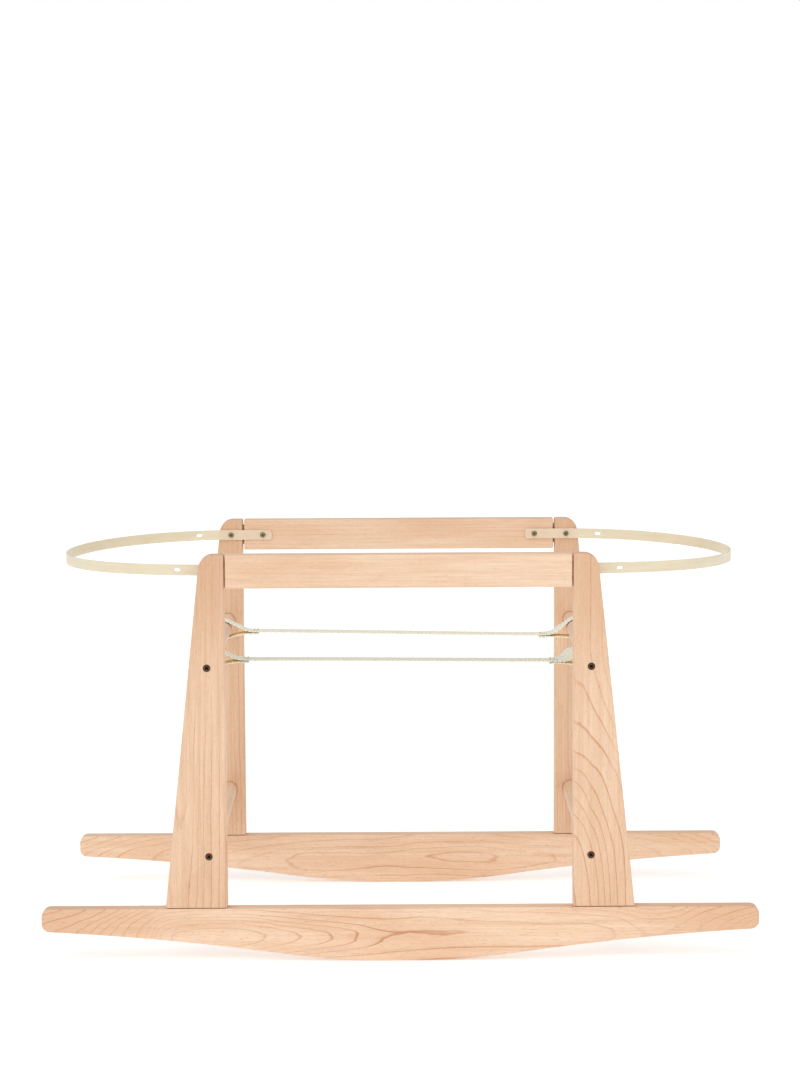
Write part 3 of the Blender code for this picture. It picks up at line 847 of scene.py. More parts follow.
def cotton_webbing(name):
    """Cream cotton webbing with raised cross ribs, on its own map."""
    settings = bpy.context.scene.stand_straps
    material, sheet, shader = new_material(
        name, Sheen_Weight=0.35, Sheen_Roughness=0.5, Subsurface_Weight=0.12,
        Subsurface_Radius=(0.8, 0.7, 0.5), Subsurface_Scale=0.0015, Specular_IOR_Level=0.2,
    )
    own_map = sheet.add("ShaderNodeUVMap", uv_map="Webbing").outputs[0]
    weave = sheet.group("Ribbed weave", build_weave)
    sheet.feed(weave, Map=own_map, Warp_yarns=22.0)
    hollow = weave.outputs["Hollow"]
    fuzz = weave.outputs["Fuzz"]
    factor = sheet.math("MULTIPLY", hollow, sheet.remap(fuzz, 0.3, 0.7, 0.35, 0.8))
    factor = sheet.math("MAXIMUM", factor, sheet.math("MULTIPLY", weave.outputs["Pair"], 0.75))
    glow_mask = sheet.add("ShaderNodeAttribute", attribute_name="Reverse").outputs["Fac"]
    colour = sheet.mix(factor, with_alpha(settings.cotton), with_alpha(settings.hollow))
    colour = sheet.mix(sheet.remap(fuzz, 0.35, 0.7, 0.0, 0.5), colour, dimmed(settings.cotton, 0.9))
    # Painted light: the loops' inner faces turn golden, standing in for light shining through the webbing
    colour = sheet.mix(sheet.math("MULTIPLY", glow_mask, 0.9), colour, with_alpha(settings.painted_loop_glow))
    height = sheet.math("MULTIPLY_ADD", fuzz, 0.5, weave.outputs["Yarn"])
    normal = sheet.bump(height, 0.6, 0.00025)
    sheet.feed(shader, Base_Color=colour, Normal=normal)
    sheet.feed(shader, Roughness=sheet.remap(fuzz, 0.2, 0.8, 0.78, 0.95))
    return material


def cotton_thread(name):
    """Twisted cream thread."""
    settings = bpy.context.scene.stand_straps
    material, sheet, shader = new_material(name, Sheen_Weight=0.3, Specular_IOR_Level=0.3)
    place = sheet.place()
    twist = sheet.add("ShaderNodeTexWave", wave_type="BANDS", bands_direction="DIAGONAL")
    sheet.feed(twist, Vector=place, Scale=900.0, Distortion=1.0)
    dim = dimmed(settings.cotton, 0.78)
    colour = sheet.mix(twist.outputs["Fac"], dim, with_alpha(settings.cotton))
    normal = sheet.bump(twist.outputs["Fac"], 0.5, 0.0001)
    sheet.feed(shader, Base_Color=colour, Normal=normal)
    sheet.feed(shader, Roughness=sheet.remap(twist.outputs["Fac"], 0.0, 1.0, 0.6, 0.8))
    return material


def bare_beech(name):
    """Unlacquered beech, for the dowel pins."""
    settings = bpy.context.scene.stand_timber
    material, sheet, shader = new_material(name, Specular_IOR_Level=0.3)
    fibre = sheet.noise(sheet.place(), 900.0, 3.0, 0.6)
    colour = sheet.mix(fibre, dimmed(settings.dowel, 0.8), with_alpha(settings.dowel))
    normal = sheet.bump(fibre, 0.3, 0.0001)
    sheet.feed(shader, Base_Color=colour, Normal=normal)
    sheet.feed(shader, Roughness=sheet.remap(fibre, 0.2, 0.8, 0.6, 0.8))
    return material


# ---------------------------------------------------------------- timber pieces


def socket_cutters(end, name):
    """Cutters for a front leg: its bolt holes, crossbar sockets, pin and screw holes."""
    fittings = bpy.context.scene.stand_fittings
    cutters = []
    for level in LEVELS:
        node = f"crossbar_{level}_{name}"
        socket_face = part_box(node)[0].y - GAP
        web = socket_face + OUTER_FACE
        mouth = fittings.bolt_head + 0.12 * MM
        shank = fittings.bolt_shank + GAP
        profile = [
            (mouth + 1.2 * MM, -1 * MM),
            (mouth + 0.75 * MM, -0.01 * MM),
            (mouth, 0.40 * MM),
            (mouth, fittings.bolt_sunk + GAP),
            (shank, fittings.bolt_sunk + 2.4 * MM),
            (shank, web),
            (BAR_RADIUS + GAP, web),
            (BAR_RADIUS + GAP, BOARD - GAP),
            (BAR_RADIUS + 3 * GAP, BOARD + GAP),
        ]
        face = (end * BAR_X, -OUTER_FACE, LEVEL[level])
        cutters.append(turned("socket", profile, 64, face, (0, 1, 0)))
    face = (end * HOOP_BEND, -INNER_FACE, HOOP_MIDDLE)
    cutters.append(blind_cutter(face, (0, -1, 0), fittings.screw_shank + GAP, SCREW_HOLE))
    cutters += pin_cutters("leg_pin_front", name, ("inner", "outer"))
    cutters += pin_cutters("rail_pin_front", name, ("lower", "upper"))
    return cutters


def blind_cutter(face, direction, radius, depth):
    """A plain round cutter, from just above a face down to a depth."""
    profile = [(radius, -1 * MM), (radius, depth)]
    return turned("hole", profile, 24, face, direction)


def pin_cutters(kind, name, places):
    """Cutters round the dowel pins of a joint, as long as the pins and a little over."""
    cutters = []
    for place in places:
        low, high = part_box(f"{kind}_{name}_{place}")
        size = high - low
        along = max(range(3), key=lambda axis: size[axis])
        direction = [0, 0, 0]
        direction[along] = 1
        radius = min(size) / 2 + GAP
        reach = size[along] / 2 + GAP
        profile = [(radius, -reach), (radius, reach)]
        cutters.append(turned("pin_hole", profile, 24, (low + high) / 2, direction))
    return cutters


def tangent_length(radius, corner):
    """How far an arc of a radius starts from the tip of a corner of that angle."""
    return radius / math.tan(corner / 2)


def leg_blank(end, name):
    """A front leg: plumb inside, raking outside, with a round outer top corner."""
    settings = bpy.context.scene.stand_timber
    low = (min(end * LEG_INSIDE, end * LEG_OUTSIDE), -OUTER_FACE, LEG_FOOT + FOOT_GROOVE)
    high = (max(end * LEG_INSIDE, end * LEG_OUTSIDE), -INNER_FACE, TOP)
    leg = new_block(name, low, high)
    rake = LEG_OUTSIDE - LEG_INSIDE - settings.leg_top
    editing(leg)
    outer_top = lambda point, item: point.z > TOP - MM and end * point.x > LEG_OUTSIDE - MM
    pick(leg, outer_top)
    bpy.ops.transform.translate(value=(-end * rake, 0, 0))
    corner_x = LEG_INSIDE + settings.leg_top
    on_corner = lambda point, item: (
        point.z > TOP - MM and end * point.x > corner_x - MM and abs(point.y + BOARD_MIDDLE) < MM
    )
    pick(leg, on_corner, "edges")
    corner = math.radians(90) + math.atan2(rake, TOP - LEG_FOOT)
    offset = tangent_length(settings.leg_corner, corner)
    bpy.ops.mesh.bevel(offset=offset, segments=14, affect="EDGES")
    done()
    ease_edges(leg, settings.edge)
    return leg


def underside(x):
    """Height of a rocker's underside at a distance from the middle."""
    settings = bpy.context.scene.stand_timber
    x = abs(x)
    roll, sweep, reach = settings.roll_radius, settings.sweep_radius, settings.roll_reach
    drop = roll - math.sqrt(roll**2 - settings.foot_half**2)
    rolled = min(x, reach)
    height = roll - math.sqrt(roll**2 - rolled**2) - drop
    if x <= reach:
        return max(height, 0)
    tilt = math.asin(reach / roll)
    turn = x - reach - sweep * math.sin(tilt)
    return height + math.sqrt(sweep**2 - turn**2) - sweep * math.cos(tilt)


def rocker_blank(name):
    """A front rocker: the underside is set column by column, then the tips are rounded."""
    settings = bpy.context.scene.stand_timber
    tip_depth = 30 * MM
    columns = 80
    body = TIP - tip_depth
    foot = ROCKER_TOP / 2
    rocker = new_block(name, (-body, -OUTER_FACE, foot), (body, -INNER_FACE, ROCKER_TOP))
    editing(rocker, mode="EDGE")
    lengthways = lambda point, item: abs(item.verts[0].co.x - item.verts[1].co.x) > body
    pick(rocker, lengthways, "edges")
    bpy.ops.mesh.subdivide(number_cuts=columns - 1)
    for end in ENDS.values():
        pick(rocker, lambda point, item: end * point.x > body - NEAR, "faces")
        bpy.ops.mesh.extrude_region_move(TRANSFORM_OT_translate={"value": (end * tip_depth, 0, 0)})
    shape = bmesh.from_edit_mesh(rocker.data)
    stations = sorted({round(vert.co.x, 6) for vert in shape.verts})
    for station in stations:
        at_station = lambda point, item: abs(point.x - station) < NEAR and point.z < foot + NEAR
        pick(rocker, at_station)
        bpy.ops.transform.translate(value=(0, 0, underside(station) - foot))
    slope = math.atan2(underside(TIP) - underside(body), tip_depth)
    for low_side, corner in ((False, math.radians(90)), (True, math.radians(90) + slope)):
        mid = (ROCKER_TOP + underside(TIP)) / 2
        tip_edge = lambda point, item: (
            abs(point.x) > TIP - NEAR
            and abs(point.y + BOARD_MIDDLE) < MM
            and (point.z < mid) == low_side
        )
        pick(rocker, tip_edge, "edges")
        offset = tangent_length(settings.tip_radius, corner)
        bpy.ops.mesh.bevel(offset=offset, segments=12, affect="EDGES")
    done()
    ease_edges(rocker, settings.edge)
    return rocker


def rail_blank(name, shouldered):
    """A front rail with eased edges, and where asked a thinner shoulder against each leg."""
    reach = LEG_INSIDE - RAIL_ROOM if shouldered else RAIL_END
    rail = new_block(name, (-reach, -OUTER_FACE, RAIL_LOW), (reach, -INNER_FACE, TOP))
    ease_edges(rail, bpy.context.scene.stand_timber.edge)
    if not shouldered:
        return rail
    depth = 6 * MM
    over = 10 * MM
    rebates = []
    for end in ENDS.values():
        near, far = sorted((end * RAIL_END, end * (RAIL_END + over)))
        for face in (-OUTER_FACE, -INNER_FACE):
            low = (near, face - depth, RAIL_LOW - over)
            high = (far, face + depth, TOP + over)
            rebates.append(new_block("rebate", low, high))
    cut(rail, rebates)
    return rail


class StandOperator(bpy.types.Operator):
    """Shared by the steps that build the stand."""

    bl_options = {"REGISTER", "UNDO"}


class BASKETSTAND_OT_rockers(StandOperator):
    """Build the two rockers, with their flat foot, rolling arc and swept tips"""

    bl_idname = "basket_stand.rockers"
    bl_label = "Rockers"

    def execute(self, context):
        front = rocker_blank("front_rocker_board")
        cutters = []
        for name in ENDS:
            cutters += pin_cutters("leg_pin_front", name, ("inner", "outer"))
        cut(front, cutters)
        smooth(front)
        back = copied(front, "back_rocker_board", mirror_to(1, 1))
        logs = {
            "front": timber(
                "beech_rocker_front", (0, -0.200, 0.031), "X", 0.0044, 0.80, 0.026, 0.04,
                (
                    (-0.43, 0.053), (-0.39, 0.048), (-0.357, 0.040), (-0.33, 0.031), (-0.30, 0.018),
                    (-0.28, 0.007), (-0.255, 0.002), (-0.23, 0.0), (-0.12, 0.0066), (-0.003, 0.0154),
                    (0.084, 0.020), (0.25, 0.024), (0.305, 0.031), (0.359, 0.024), (0.43, 0.009),
                ),
                # Painted shade darkens the rocker beyond 0.28 m from the middle, towards its tips
                0.28,
            ),
            "back": timber(
                "beech_rocker_back", (0, 0.222, 0.030), "X", 0.0050, 0.65, 0.035, 0.0,
                ((-0.43, 0.040), (-0.20, 0.012), (-0.05, 0.0), (0.20, 0.010), (0.43, 0.045)),
            ),
        }
        for name, piece in (("front", front), ("back", back)):
            finish_piece(piece, logs[name], "beech", BODY, "rocker_" + name)
        return {"FINISHED"}


class BASKETSTAND_OT_legs(StandOperator):
    """Build the four tapered legs, with their bolt holes and crossbar sockets"""

    bl_idname = "basket_stand.legs"
    bl_label = "Legs"

    def execute(self, context):
        leg = leg_blank(1, "front_right_leg_board")
        cut(leg, socket_cutters(1, "right"))
        smooth(leg)
        logs = {
            ("front", "right"): ((0.198, -0.200, 0), 0.0086, 0.95, 0.020, 0.30, (
                (0.0, 0.0), (0.10, 0.010), (0.20, 0.038), (0.34, 0.082), (0.39, 0.086), (0.5, 0.086),
            )),
            ("front", "left"): ((-0.263, -0.197, 0), 0.0056, 0.78, 0.016, 0.40, (
                (0.0, 0.0150), (0.165, 0.0124), (0.30, 0.0096), (0.5, 0.0080),
            )),
            ("back", "left"): ((-0.290, 0.180, 0), 0.0048, 0.80, 0.014, 0.40, ()),
            ("back", "right"): ((0.160, 0.180, 0), 0.0046, 0.85, 0.014, 0.40, ()),
        }
        for (frame_name, end_name), (pith, gap, strength, waver, tint, bends) in logs.items():
            end, side = ENDS[end_name], FRAMES[frame_name]
            name = f"{frame_name}_{end_name}_leg_board"
            piece = leg
            if name != leg.name:
                piece = copied(leg, name, mirror_to(end, side))
            log_name = f"beech_leg_{frame_name}_{end_name}"
            # Painted shade darkens each leg above 0.34 m, towards its top
            material = timber(log_name, pith, "Z", gap, strength, waver, tint, bends, 0.34)
            finish_piece(piece, material, "beech", BODY, f"leg_{frame_name}_{end_name}")
        return {"FINISHED"}


class BASKETSTAND_OT_rails(StandOperator):
    """Build the two rails that tie the tops of the legs"""

    bl_idname = "basket_stand.rails"
    bl_label = "Rails"

    def execute(self, context):
        fittings = context.scene.stand_fittings
        front = rail_blank("front_rail_board", True)
        plain = rail_blank("plain_rail_board", False)
        for rail in (front, plain):
            cutters = []
            for name, end in ENDS.items():
                cutters += pin_cutters("rail_pin_front", name, ("lower", "upper"))
                face = (end * (HOOP_BEND - SCREW_PITCH), -INNER_FACE, HOOP_MIDDLE)
                cutters.append(blind_cutter(face, (0, -1, 0), fittings.screw_shank + GAP, SCREW_HOLE))
            cut(rail, cutters)
            smooth(rail)
        back = copied(plain, "back_rail_board", mirror_to(1, 1))
        bpy.data.objects.remove(plain, do_unlink=True)
        logs = {
            "front": timber("beech_rail_front", (0, -0.205, 0.300), "X", 0.0034, 0.32, 0.012),
            "back": timber("beech_rail_back", (0, 0.215, 0.400), "X", 0.0046, 0.50, 0.016, 0.05),
        }
        for name, piece in (("front", front), ("back", back)):
            finish_piece(piece, logs[name], "beech", BODY, "rail_" + name)
        return {"FINISHED"}


class BASKETSTAND_OT_crossbars(StandOperator):
    """Build the four round crossbars, bored at both ends for their inserts"""

    bl_idname = "basket_stand.crossbars"
    bl_label = "Crossbars"

    def execute(self, context):
        bolt_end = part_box("bolt_front_upper_right")[1].y + GAP
        insert_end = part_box("insert_front_upper_right")[1].y + GAP
        bolt_bore = context.scene.stand_fittings.bolt_shank + GAP
        insert_bore = size_of("insert_front_upper_right").z / 2 + GAP
        chamfer = 0.6 * MM
        half = [
            (bolt_bore, bolt_end),
            (bolt_bore, insert_end),
            (insert_bore, insert_end),
            (insert_bore, -BAR_HALF),
            (BAR_RADIUS - chamfer, -BAR_HALF),
            (BAR_RADIUS, -BAR_HALF + chamfer),
        ]
        profile = half + [(radius, -height) for radius, height in reversed(half)]
        first = turned("upper_left_bar", profile, 96, (0, 0, 0), (0, 1, 0))
        smooth(first)
        for level in LEVELS:
            for name, end in ENDS.items():
                place = Matrix.Translation((end * BAR_X, 0, LEVEL[level]))
                piece = copied(first, f"{level}_{name}_bar", place)
                pith = (end * (BAR_X - 0.03), 0, LEVEL[level] + 0.05)
                material = timber(f"beech_bar_{level}_{name}", pith, "Y", 0.0038, 0.30, 0.012, 0.02)
                finish_piece(piece, material, "beech", BODY, f"crossbar_{level}_{name}")
        bpy.data.objects.remove(first, do_unlink=True)
        return {"FINISHED"}


# ---------------------------------------------------------------- fittings


def spun(degrees):
    """A turn about Z."""
    return Matrix.Rotation(math.radians(degrees), 4, "Z")


def cross_cutter(reach, arm, depth):
    """A tapered cross, to cut the recess in the head of a screw that stands at the origin."""
    bars = []
    for turn in (0, 90):
        deselect_all()
        bpy.ops.mesh.primitive_cube_add(size=1, scale=(2 * reach, 2 * arm, 2 * depth))
        bpy.ops.object.transform_apply(location=True, rotation=True, scale=True)
        bar = named("cross_bar")
        editing(bar)
        pick(bar, lambda point, item: point.z > 0)
        bpy.ops.transform.resize(value=(0.45, 0.8, 1), center_override=(0, 0, depth))
        done()
        bar.data.transform(spun(turn + 20))
        bars.append(bar)
    return joined(bars, "cross")


class BASKETSTAND_OT_bolts(StandOperator):
    """Build the eight countersunk bolts that hold the legs to the crossbars"""

    bl_idname = "basket_stand.bolts"
    bl_label = "Bolts"

    def execute(self, context):
        settings = context.scene.stand_fittings
        head, shank = settings.bolt_head, settings.bolt_shank
        length = size_of("bolt_front_upper_right").y
        profile = [
            (head * 0.30, -0.16 * MM),
            (head * 0.62, -0.12 * MM),
            (head * 0.88, -0.02 * MM),
            (head * 0.97, 0.08 * MM),
            (head, 0.22 * MM),
            (head, 0.40 * MM),
            (shank, 2.4 * MM),
            (shank, length - 0.5 * MM),
            (shank - 0.5 * MM, length),
        ]
        bolt = turned("bolt", profile, 48, (0, 0, 0), (0, 0, 1))
        cut(bolt, [cross_cutter(3.3 * MM, 0.95 * MM, 2.1 * MM)])
        smooth(bolt, 30)
        head_face = OUTER_FACE - settings.bolt_sunk
        mouth = head_face + 0.05 * MM
        # Painted shade: deeper than the mouth, the plating darkens to black in the cross recess
        material = bronze_plating("bronze_bolts", (mouth, mouth - 0.5 * MM))
        inward = facing((0, 1, 0))
        for frame_name, side in FRAMES.items():
            for level in LEVELS:
                for name, end in ENDS.items():
                    turn = spun(180) if side > 0 else Matrix()
                    place = Matrix.Translation((end * BAR_X, side * head_face, LEVEL[level]))
                    piece_name = f"{frame_name}_{level}_{name}_bolt"
                    tightened = spun(37 * end + 20 * side)
                    piece = copied(bolt, piece_name, place @ turn @ inward @ tightened)
                    node = f"bolt_{frame_name}_{level}_{name}"
                    finish_piece(piece, material, "dark_bronze", BODY, node)
        bpy.data.objects.remove(bolt, do_unlink=True)
        return {"FINISHED"}


class BASKETSTAND_OT_hoop_screws(StandOperator):
    """Build the eight pan-head screws that hold the hoops"""

    bl_idname = "basket_stand.hoop_screws"
    bl_label = "Hoop screws"

    def execute(self, context):
        settings = context.scene.stand_fittings
        head, shank = settings.screw_head, settings.screw_shank
        low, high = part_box("hoop_screw_back_right_leg")
        seat = HOOP_OUTSIDE - context.scene.stand_hoops.thickness
        tall = seat - low.y - GAP
        end_y = high.y - low.y
        profile = [
            (head * 0.35, 0),
            (head * 0.62, tall * 0.05),
            (head * 0.82, tall * 0.20),
            (head * 0.95, tall * 0.45),
            (head, tall * 0.75),
            (head * 0.985, tall * 0.97),
            (head * 0.95, tall),
            (shank, tall),
            (shank, end_y - 2.2 * MM),
            (shank * 0.25, end_y),
        ]
        screw = turned("screw", profile, 40, (0, 0, 0), (0, 0, 1))
        cut(screw, [cross_cutter(1.8 * MM, 0.55 * MM, 1.2 * MM)])
        smooth(screw, 30)
        # Painted shade: from 0.5 mm to 1.2 mm into the head, the plating darkens to black in the cross
        # recess
        material = bronze_plating("brassy_screws", (low.y + 0.5 * MM, low.y + 1.2 * MM), 1.0)
        outward = facing((0, 1, 0))
        for frame_name, side in FRAMES.items():
            for name, end in ENDS.items():
                for place_name, x in (("leg", HOOP_BEND), ("rail", HOOP_BEND - SCREW_PITCH)):
                    turn = spun(180) if side < 0 else Matrix()
                    place = Matrix.Translation((end * x, side * low.y, HOOP_MIDDLE))
                    piece_name = f"{frame_name}_{name}_{place_name}_screw"
                    piece = copied(screw, piece_name, place @ turn @ outward @ spun(x * 9000))
                    node = f"hoop_screw_{frame_name}_{name}_{place_name}"
                    finish_piece(piece, material, "dark_bronze", BODY, node)
        bpy.data.objects.remove(screw, do_unlink=True)
        return {"FINISHED"}


class BASKETSTAND_OT_hidden_fittings(StandOperator):
    """Finish the inserts and dowel pins, which sit inside the joints"""

    bl_idname = "basket_stand.hidden_fittings"
    bl_label = "Hidden fittings"

    def execute(self, context):
        zinc = zinc_plating("zinc_inserts")
        bare = bare_beech("bare_beech_pins")
        for node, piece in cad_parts.items():
            if node.startswith("insert_"):
                dress(piece, zinc)
            elif "_pin_" in node:
                dress(piece, bare)
        return {"FINISHED"}


# ---------------------------------------------------------------- hoops


def hoop_strip(name):
    """The right-hand hoop: a strip's section, drawn out, spun round the bend and drawn back."""
    settings = bpy.context.scene.stand_hoops
    thick = settings.thickness
    middle = HOOP_OUTSIDE - thick / 2
    deselect_all()
    bpy.ops.mesh.primitive_plane_add(size=1, location=(HOOP_END, -middle, HOOP_MIDDLE))
    strip = named(name)
    strip.data.transform(Matrix.Diagonal((HOOP_TALL, thick, 1, 1)))
    strip.data.transform(Matrix.Rotation(math.radians(90), 4, "Y"))
    bpy.ops.object.transform_apply(location=True, rotation=True, scale=True)
    editing(strip, "ALL", "FACE")
    straight = (HOOP_BEND - HOOP_END, 0, 0)
    bpy.ops.mesh.extrude_region_move(TRANSFORM_OT_translate={"value": straight})
    centre = (HOOP_BEND, 0, HOOP_MIDDLE)
    bpy.ops.mesh.spin(steps=96, angle=math.pi, center=centre, axis=(0, 0, -1))
    at_end = lambda point, item: point.y > 0 and abs(point.x - HOOP_BEND) < NEAR
    pick(strip, at_end, "faces")
    back = (HOOP_END - HOOP_BEND, 0, 0)
    bpy.ops.mesh.extrude_region_move(TRANSFORM_OT_translate={"value": back})
    done()
    outwards(strip)
    return strip


def finish_hoop(strip):
    """Rounds the strip's ends, drills it, eases its edges and lets its far end droop."""
    settings = bpy.context.scene.stand_hoops
    edge = 0.4 * MM
    hole = 2.1 * MM
    editing(strip, mode="EDGE")
    short = lambda point, item: (
        abs(point.x - HOOP_END) < NEAR and abs(abs(point.z - HOOP_MIDDLE) - HOOP_TALL / 2) < NEAR
    )
    pick(strip, short, "edges")
    bpy.ops.mesh.bevel(offset=settings.end_corner, segments=6, affect="EDGES")
    bpy.ops.mesh.select_all(action="DESELECT")
    bpy.ops.mesh.edges_select_sharp(sharpness=math.radians(40))
    bpy.ops.mesh.bevel(offset=edge, segments=2, affect="EDGES")
    done()
    radius = HOOP_OUTSIDE - settings.thickness / 2
    cutters = []
    for side in FRAMES.values():
        for x in (HOOP_BEND, HOOP_BEND - SCREW_PITCH):
            face = (x, side * (radius - 0.01), HOOP_MIDDLE)
            cutters.append(blind_cutter(face, (0, side, 0), hole, 20 * MM))
        cutters.append(slot_cutter(side * (math.pi / 2 - SCREW_PITCH / radius), radius))
    cut(strip, cutters)
    for vert in strip.data.vertices:
        out = max(vert.co.x - HOOP_BEND, 0) / radius
        vert.co.z -= HOOP_DROOP * out**2
    smooth(strip, 40)


def slot_cutter(turn, radius):
    """A short slot through the strip, at an angle round the bend from its far end."""
    half = 2.1 * MM
    round_end = 1.8 * MM
    through = 8 * MM
    profile = [(round_end, -through), (round_end, through)]
    ends = [turned("slot_end", profile, 24, (shift, 0, 0), (0, 1, 0)) for shift in (-half, half)]
    low, high = (-half, -through, -round_end), (half, through, round_end)
    ends.append(new_block("slot_middle", low, high))
    slot = joined(ends, "slot")
    place = (HOOP_BEND + radius * math.cos(turn), radius * math.sin(turn), HOOP_MIDDLE)
    lean = Matrix.Rotation(turn - math.pi / 2, 4, "Z")
    slot.data.transform(Matrix.Translation(place) @ lean)
    return slot


class BASKETSTAND_OT_hoops(StandOperator):
    """Build the two nylon hoops, drilled at the screws and slotted beyond them"""

    bl_idname = "basket_stand.hoops"
    bl_label = "Hoops"

    def execute(self, context):
        right = hoop_strip("right_nylon_hoop")
        finish_hoop(right)
        left = copied(right, "left_nylon_hoop", mirror_to(-1, 1))
        material = ivory_nylon("ivory_nylon_strip")
        finish_piece(right, material, "ivory_nylon", BODY, "hoop_right")
        finish_piece(left, material, "ivory_nylon", BODY, "hoop_left")
        return {"FINISHED"}


# ---------------------------------------------------------------- straps

# How each strap hangs: its height at each fork, from the bars' middles, and next to the
# right-hand bar its twist in degrees and how far it crooks downwards
STRAP_HANG = {
    "front": {"left": -0.0026, "right": -0.0056, "twist": 32, "crook": 0.0},
    "back": {"left": -0.0026, "right": -0.0086, "twist": 6, "crook": 0.0016},
}


# Distance between the middles of two sewn layers, in thicknesses. It is less than one,
# because the stitching presses their ribs into each other.
LAYERS = 0.80

# Share of the way from fork to bar by which a twisted band lies level again, clear of the bar
UNTWISTED = 0.85

# Slack of a strap's loop round its bar
SLACK = 0.25 * MM

# Shares of the band's thickness left between its ribs and at its selvages, and how far
# every second rib pinches the selvages, as a share of the thickness and as a length
BETWEEN_RIBS = 0.62
SELVAGE = 0.45
PINCH = 0.42
PINCH_REACH = 0.0007


def wrap_points(above, below, radius, steps=40):
    """Points round the far side of the right-hand bar, from its top to its underside.

    Above and below are where the band leaves for the bar, measured from the bar's middle.
    """
    turns = []
    for point, side in ((above, -1), (below, 1)):
        away = Vector(point)
        turns.append(math.atan2(away.y, away.x) % (2 * math.pi) + side * math.acos(radius / away.length))
    sweep = turns[1] - turns[0] - 2 * math.pi
    return [
        (radius * math.cos(turns[0] + sweep * n / steps), radius * math.sin(turns[0] + sweep * n / steps))
        for n in range(steps + 1)
    ]


def end_route(hang, end_name, thickness):
    """One end of a strap's centre line, from near its middle round the bar to its tail.

    Each point is (distance from the middle, height from the bars' middle, twist).
    """
    settings = bpy.context.scene.stand_straps
    drop = hang[end_name]
    fork = settings.fork - BAR_X
    tail = settings.tail - BAR_X
    layer = thickness * LAYERS
    radius = BAR_RADIUS + GAP + thickness / 2 + SLACK
    above = (fork, drop)
    below = (fork, drop - layer)
    wrap = wrap_points(above, below, radius)
    right = end_name == "right"
    twist = math.radians(hang["twist"]) if right else 0.0
    crook = hang["crook"] if right else 0.0
    route = []
    for n in range(1, 9):
        route.append((lerp(0.14 - BAR_X, fork, n / 8), drop, 0.0))
    steps = 16
    for n in range(1, steps):
        share = n / steps
        x = lerp(above[0], wrap[0][0], share)
        z = lerp(above[1], wrap[0][1], share) - crook * math.sin(math.pi * share)
        route.append((x, z, twist * math.sin(math.pi * min(share / UNTWISTED, 1.0))))
    route += [(x, z, 0.0) for x, z in wrap]
    for n in range(1, steps):
        share = n / steps
        bow = 0.0012 * math.sin(math.pi * share) if not right else 0.0
        x = lerp(wrap[-1][0], below[0], share)
        z = lerp(wrap[-1][1], below[1], share) + bow
        route.append((x, z, 0.0))
    for n in range(9):
        route.append((lerp(fork, tail, n / 8), drop - layer, 0.0))
    return [(x + BAR_X, z, roll) for x, z, roll in route]


def strap_route(frame_name, thickness):
    """The whole centre line, from the left tail to the right tail, as (x, z, twist)."""
    hang = STRAP_HANG[frame_name]
    right = end_route(hang, "right", thickness)
    left = [(-x, z, -roll) for x, z, roll in end_route(hang, "left", thickness)]
    return list(reversed(left)) + right


def softened(route, rounds=6):
    """The route with its corners eased, but its ends kept."""
    for _ in range(rounds):
        eased = [route[0]]
        for before, here, after in zip(route, route[1:], route[2:]):
            eased.append(tuple((a + 2 * b + c) / 4 for a, b, c in zip(before, here, after)))
        route = eased + [route[-1]]
    return route


def evened(route, step):
    """The route in equal steps along its length, with each point's distance along it."""
    reached = [0.0]
    for before, after in zip(route, route[1:]):
        reached.append(reached[-1] + math.dist(before[:2], after[:2]))
    count = round(reached[-1] / step)
    points = []
    index = 0
    for n in range(count + 1):
        target = reached[-1] * n / count
        while index < len(route) - 2 and reached[index + 1] < target:
            index += 1
        share = (target - reached[index]) / (reached[index + 1] - reached[index])
        point = [lerp(a, b, share) for a, b in zip(route[index], route[index + 1])]
        points.append((target, *point))
    return points


def webbing_band(name, frame_name):
    """A band of webbing laid along a strap's route, with its ribs and selvages modelled.

    It starts as a flat grid, one column to each step along the route, extruded to a slab.
    """
    settings = bpy.context.scene.stand_straps
    steps_per_rib = 8
    across = 10
    route = evened(softened(strap_route(frame_name, settings.thickness)), settings.rib / steps_per_rib)
    columns = len(route) - 1
    deselect_all()
    bpy.ops.mesh.primitive_grid_add(x_subdivisions=columns, y_subdivisions=across, size=2)
    band = named(name)
    band.data.uv_layers[0].name = "Webbing"
    editing(band, "ALL", "FACE")
    bpy.ops.mesh.extrude_region_move(TRANSFORM_OT_translate={"value": (0, 0, 1)})
    done()
    uvs = band.data.uv_layers["Webbing"].data
    points = [vert.co.copy() for vert in band.data.vertices]
    for loop in band.data.loops:
        point = points[loop.vertex_index]
        station = route[round((point.x + 1) / 2 * columns)]
        uvs[loop.index].uv = (station[0] / settings.rib, (point.y + 1) / 2)

    # Only the inner faces of the loops round the bars get the painted glow: a golden colour standing in for
    # light shining through the webbing
    glow_mask = band.data.attributes.new("Reverse", "FLOAT", "POINT").data
    for vert, point in zip(band.data.vertices, points):
        column = round((point.x + 1) / 2 * columns)
        inside = point.z < 0.5 and abs(point.y) < 0.95 and abs(route[column][1]) > settings.fork + MM
        glow_mask[vert.index].value = 1.0 if inside else 0.0
        vert.co = band_point(route, column, point.y, point.z > 0.5, STRAP_Y[frame_name])
    return band


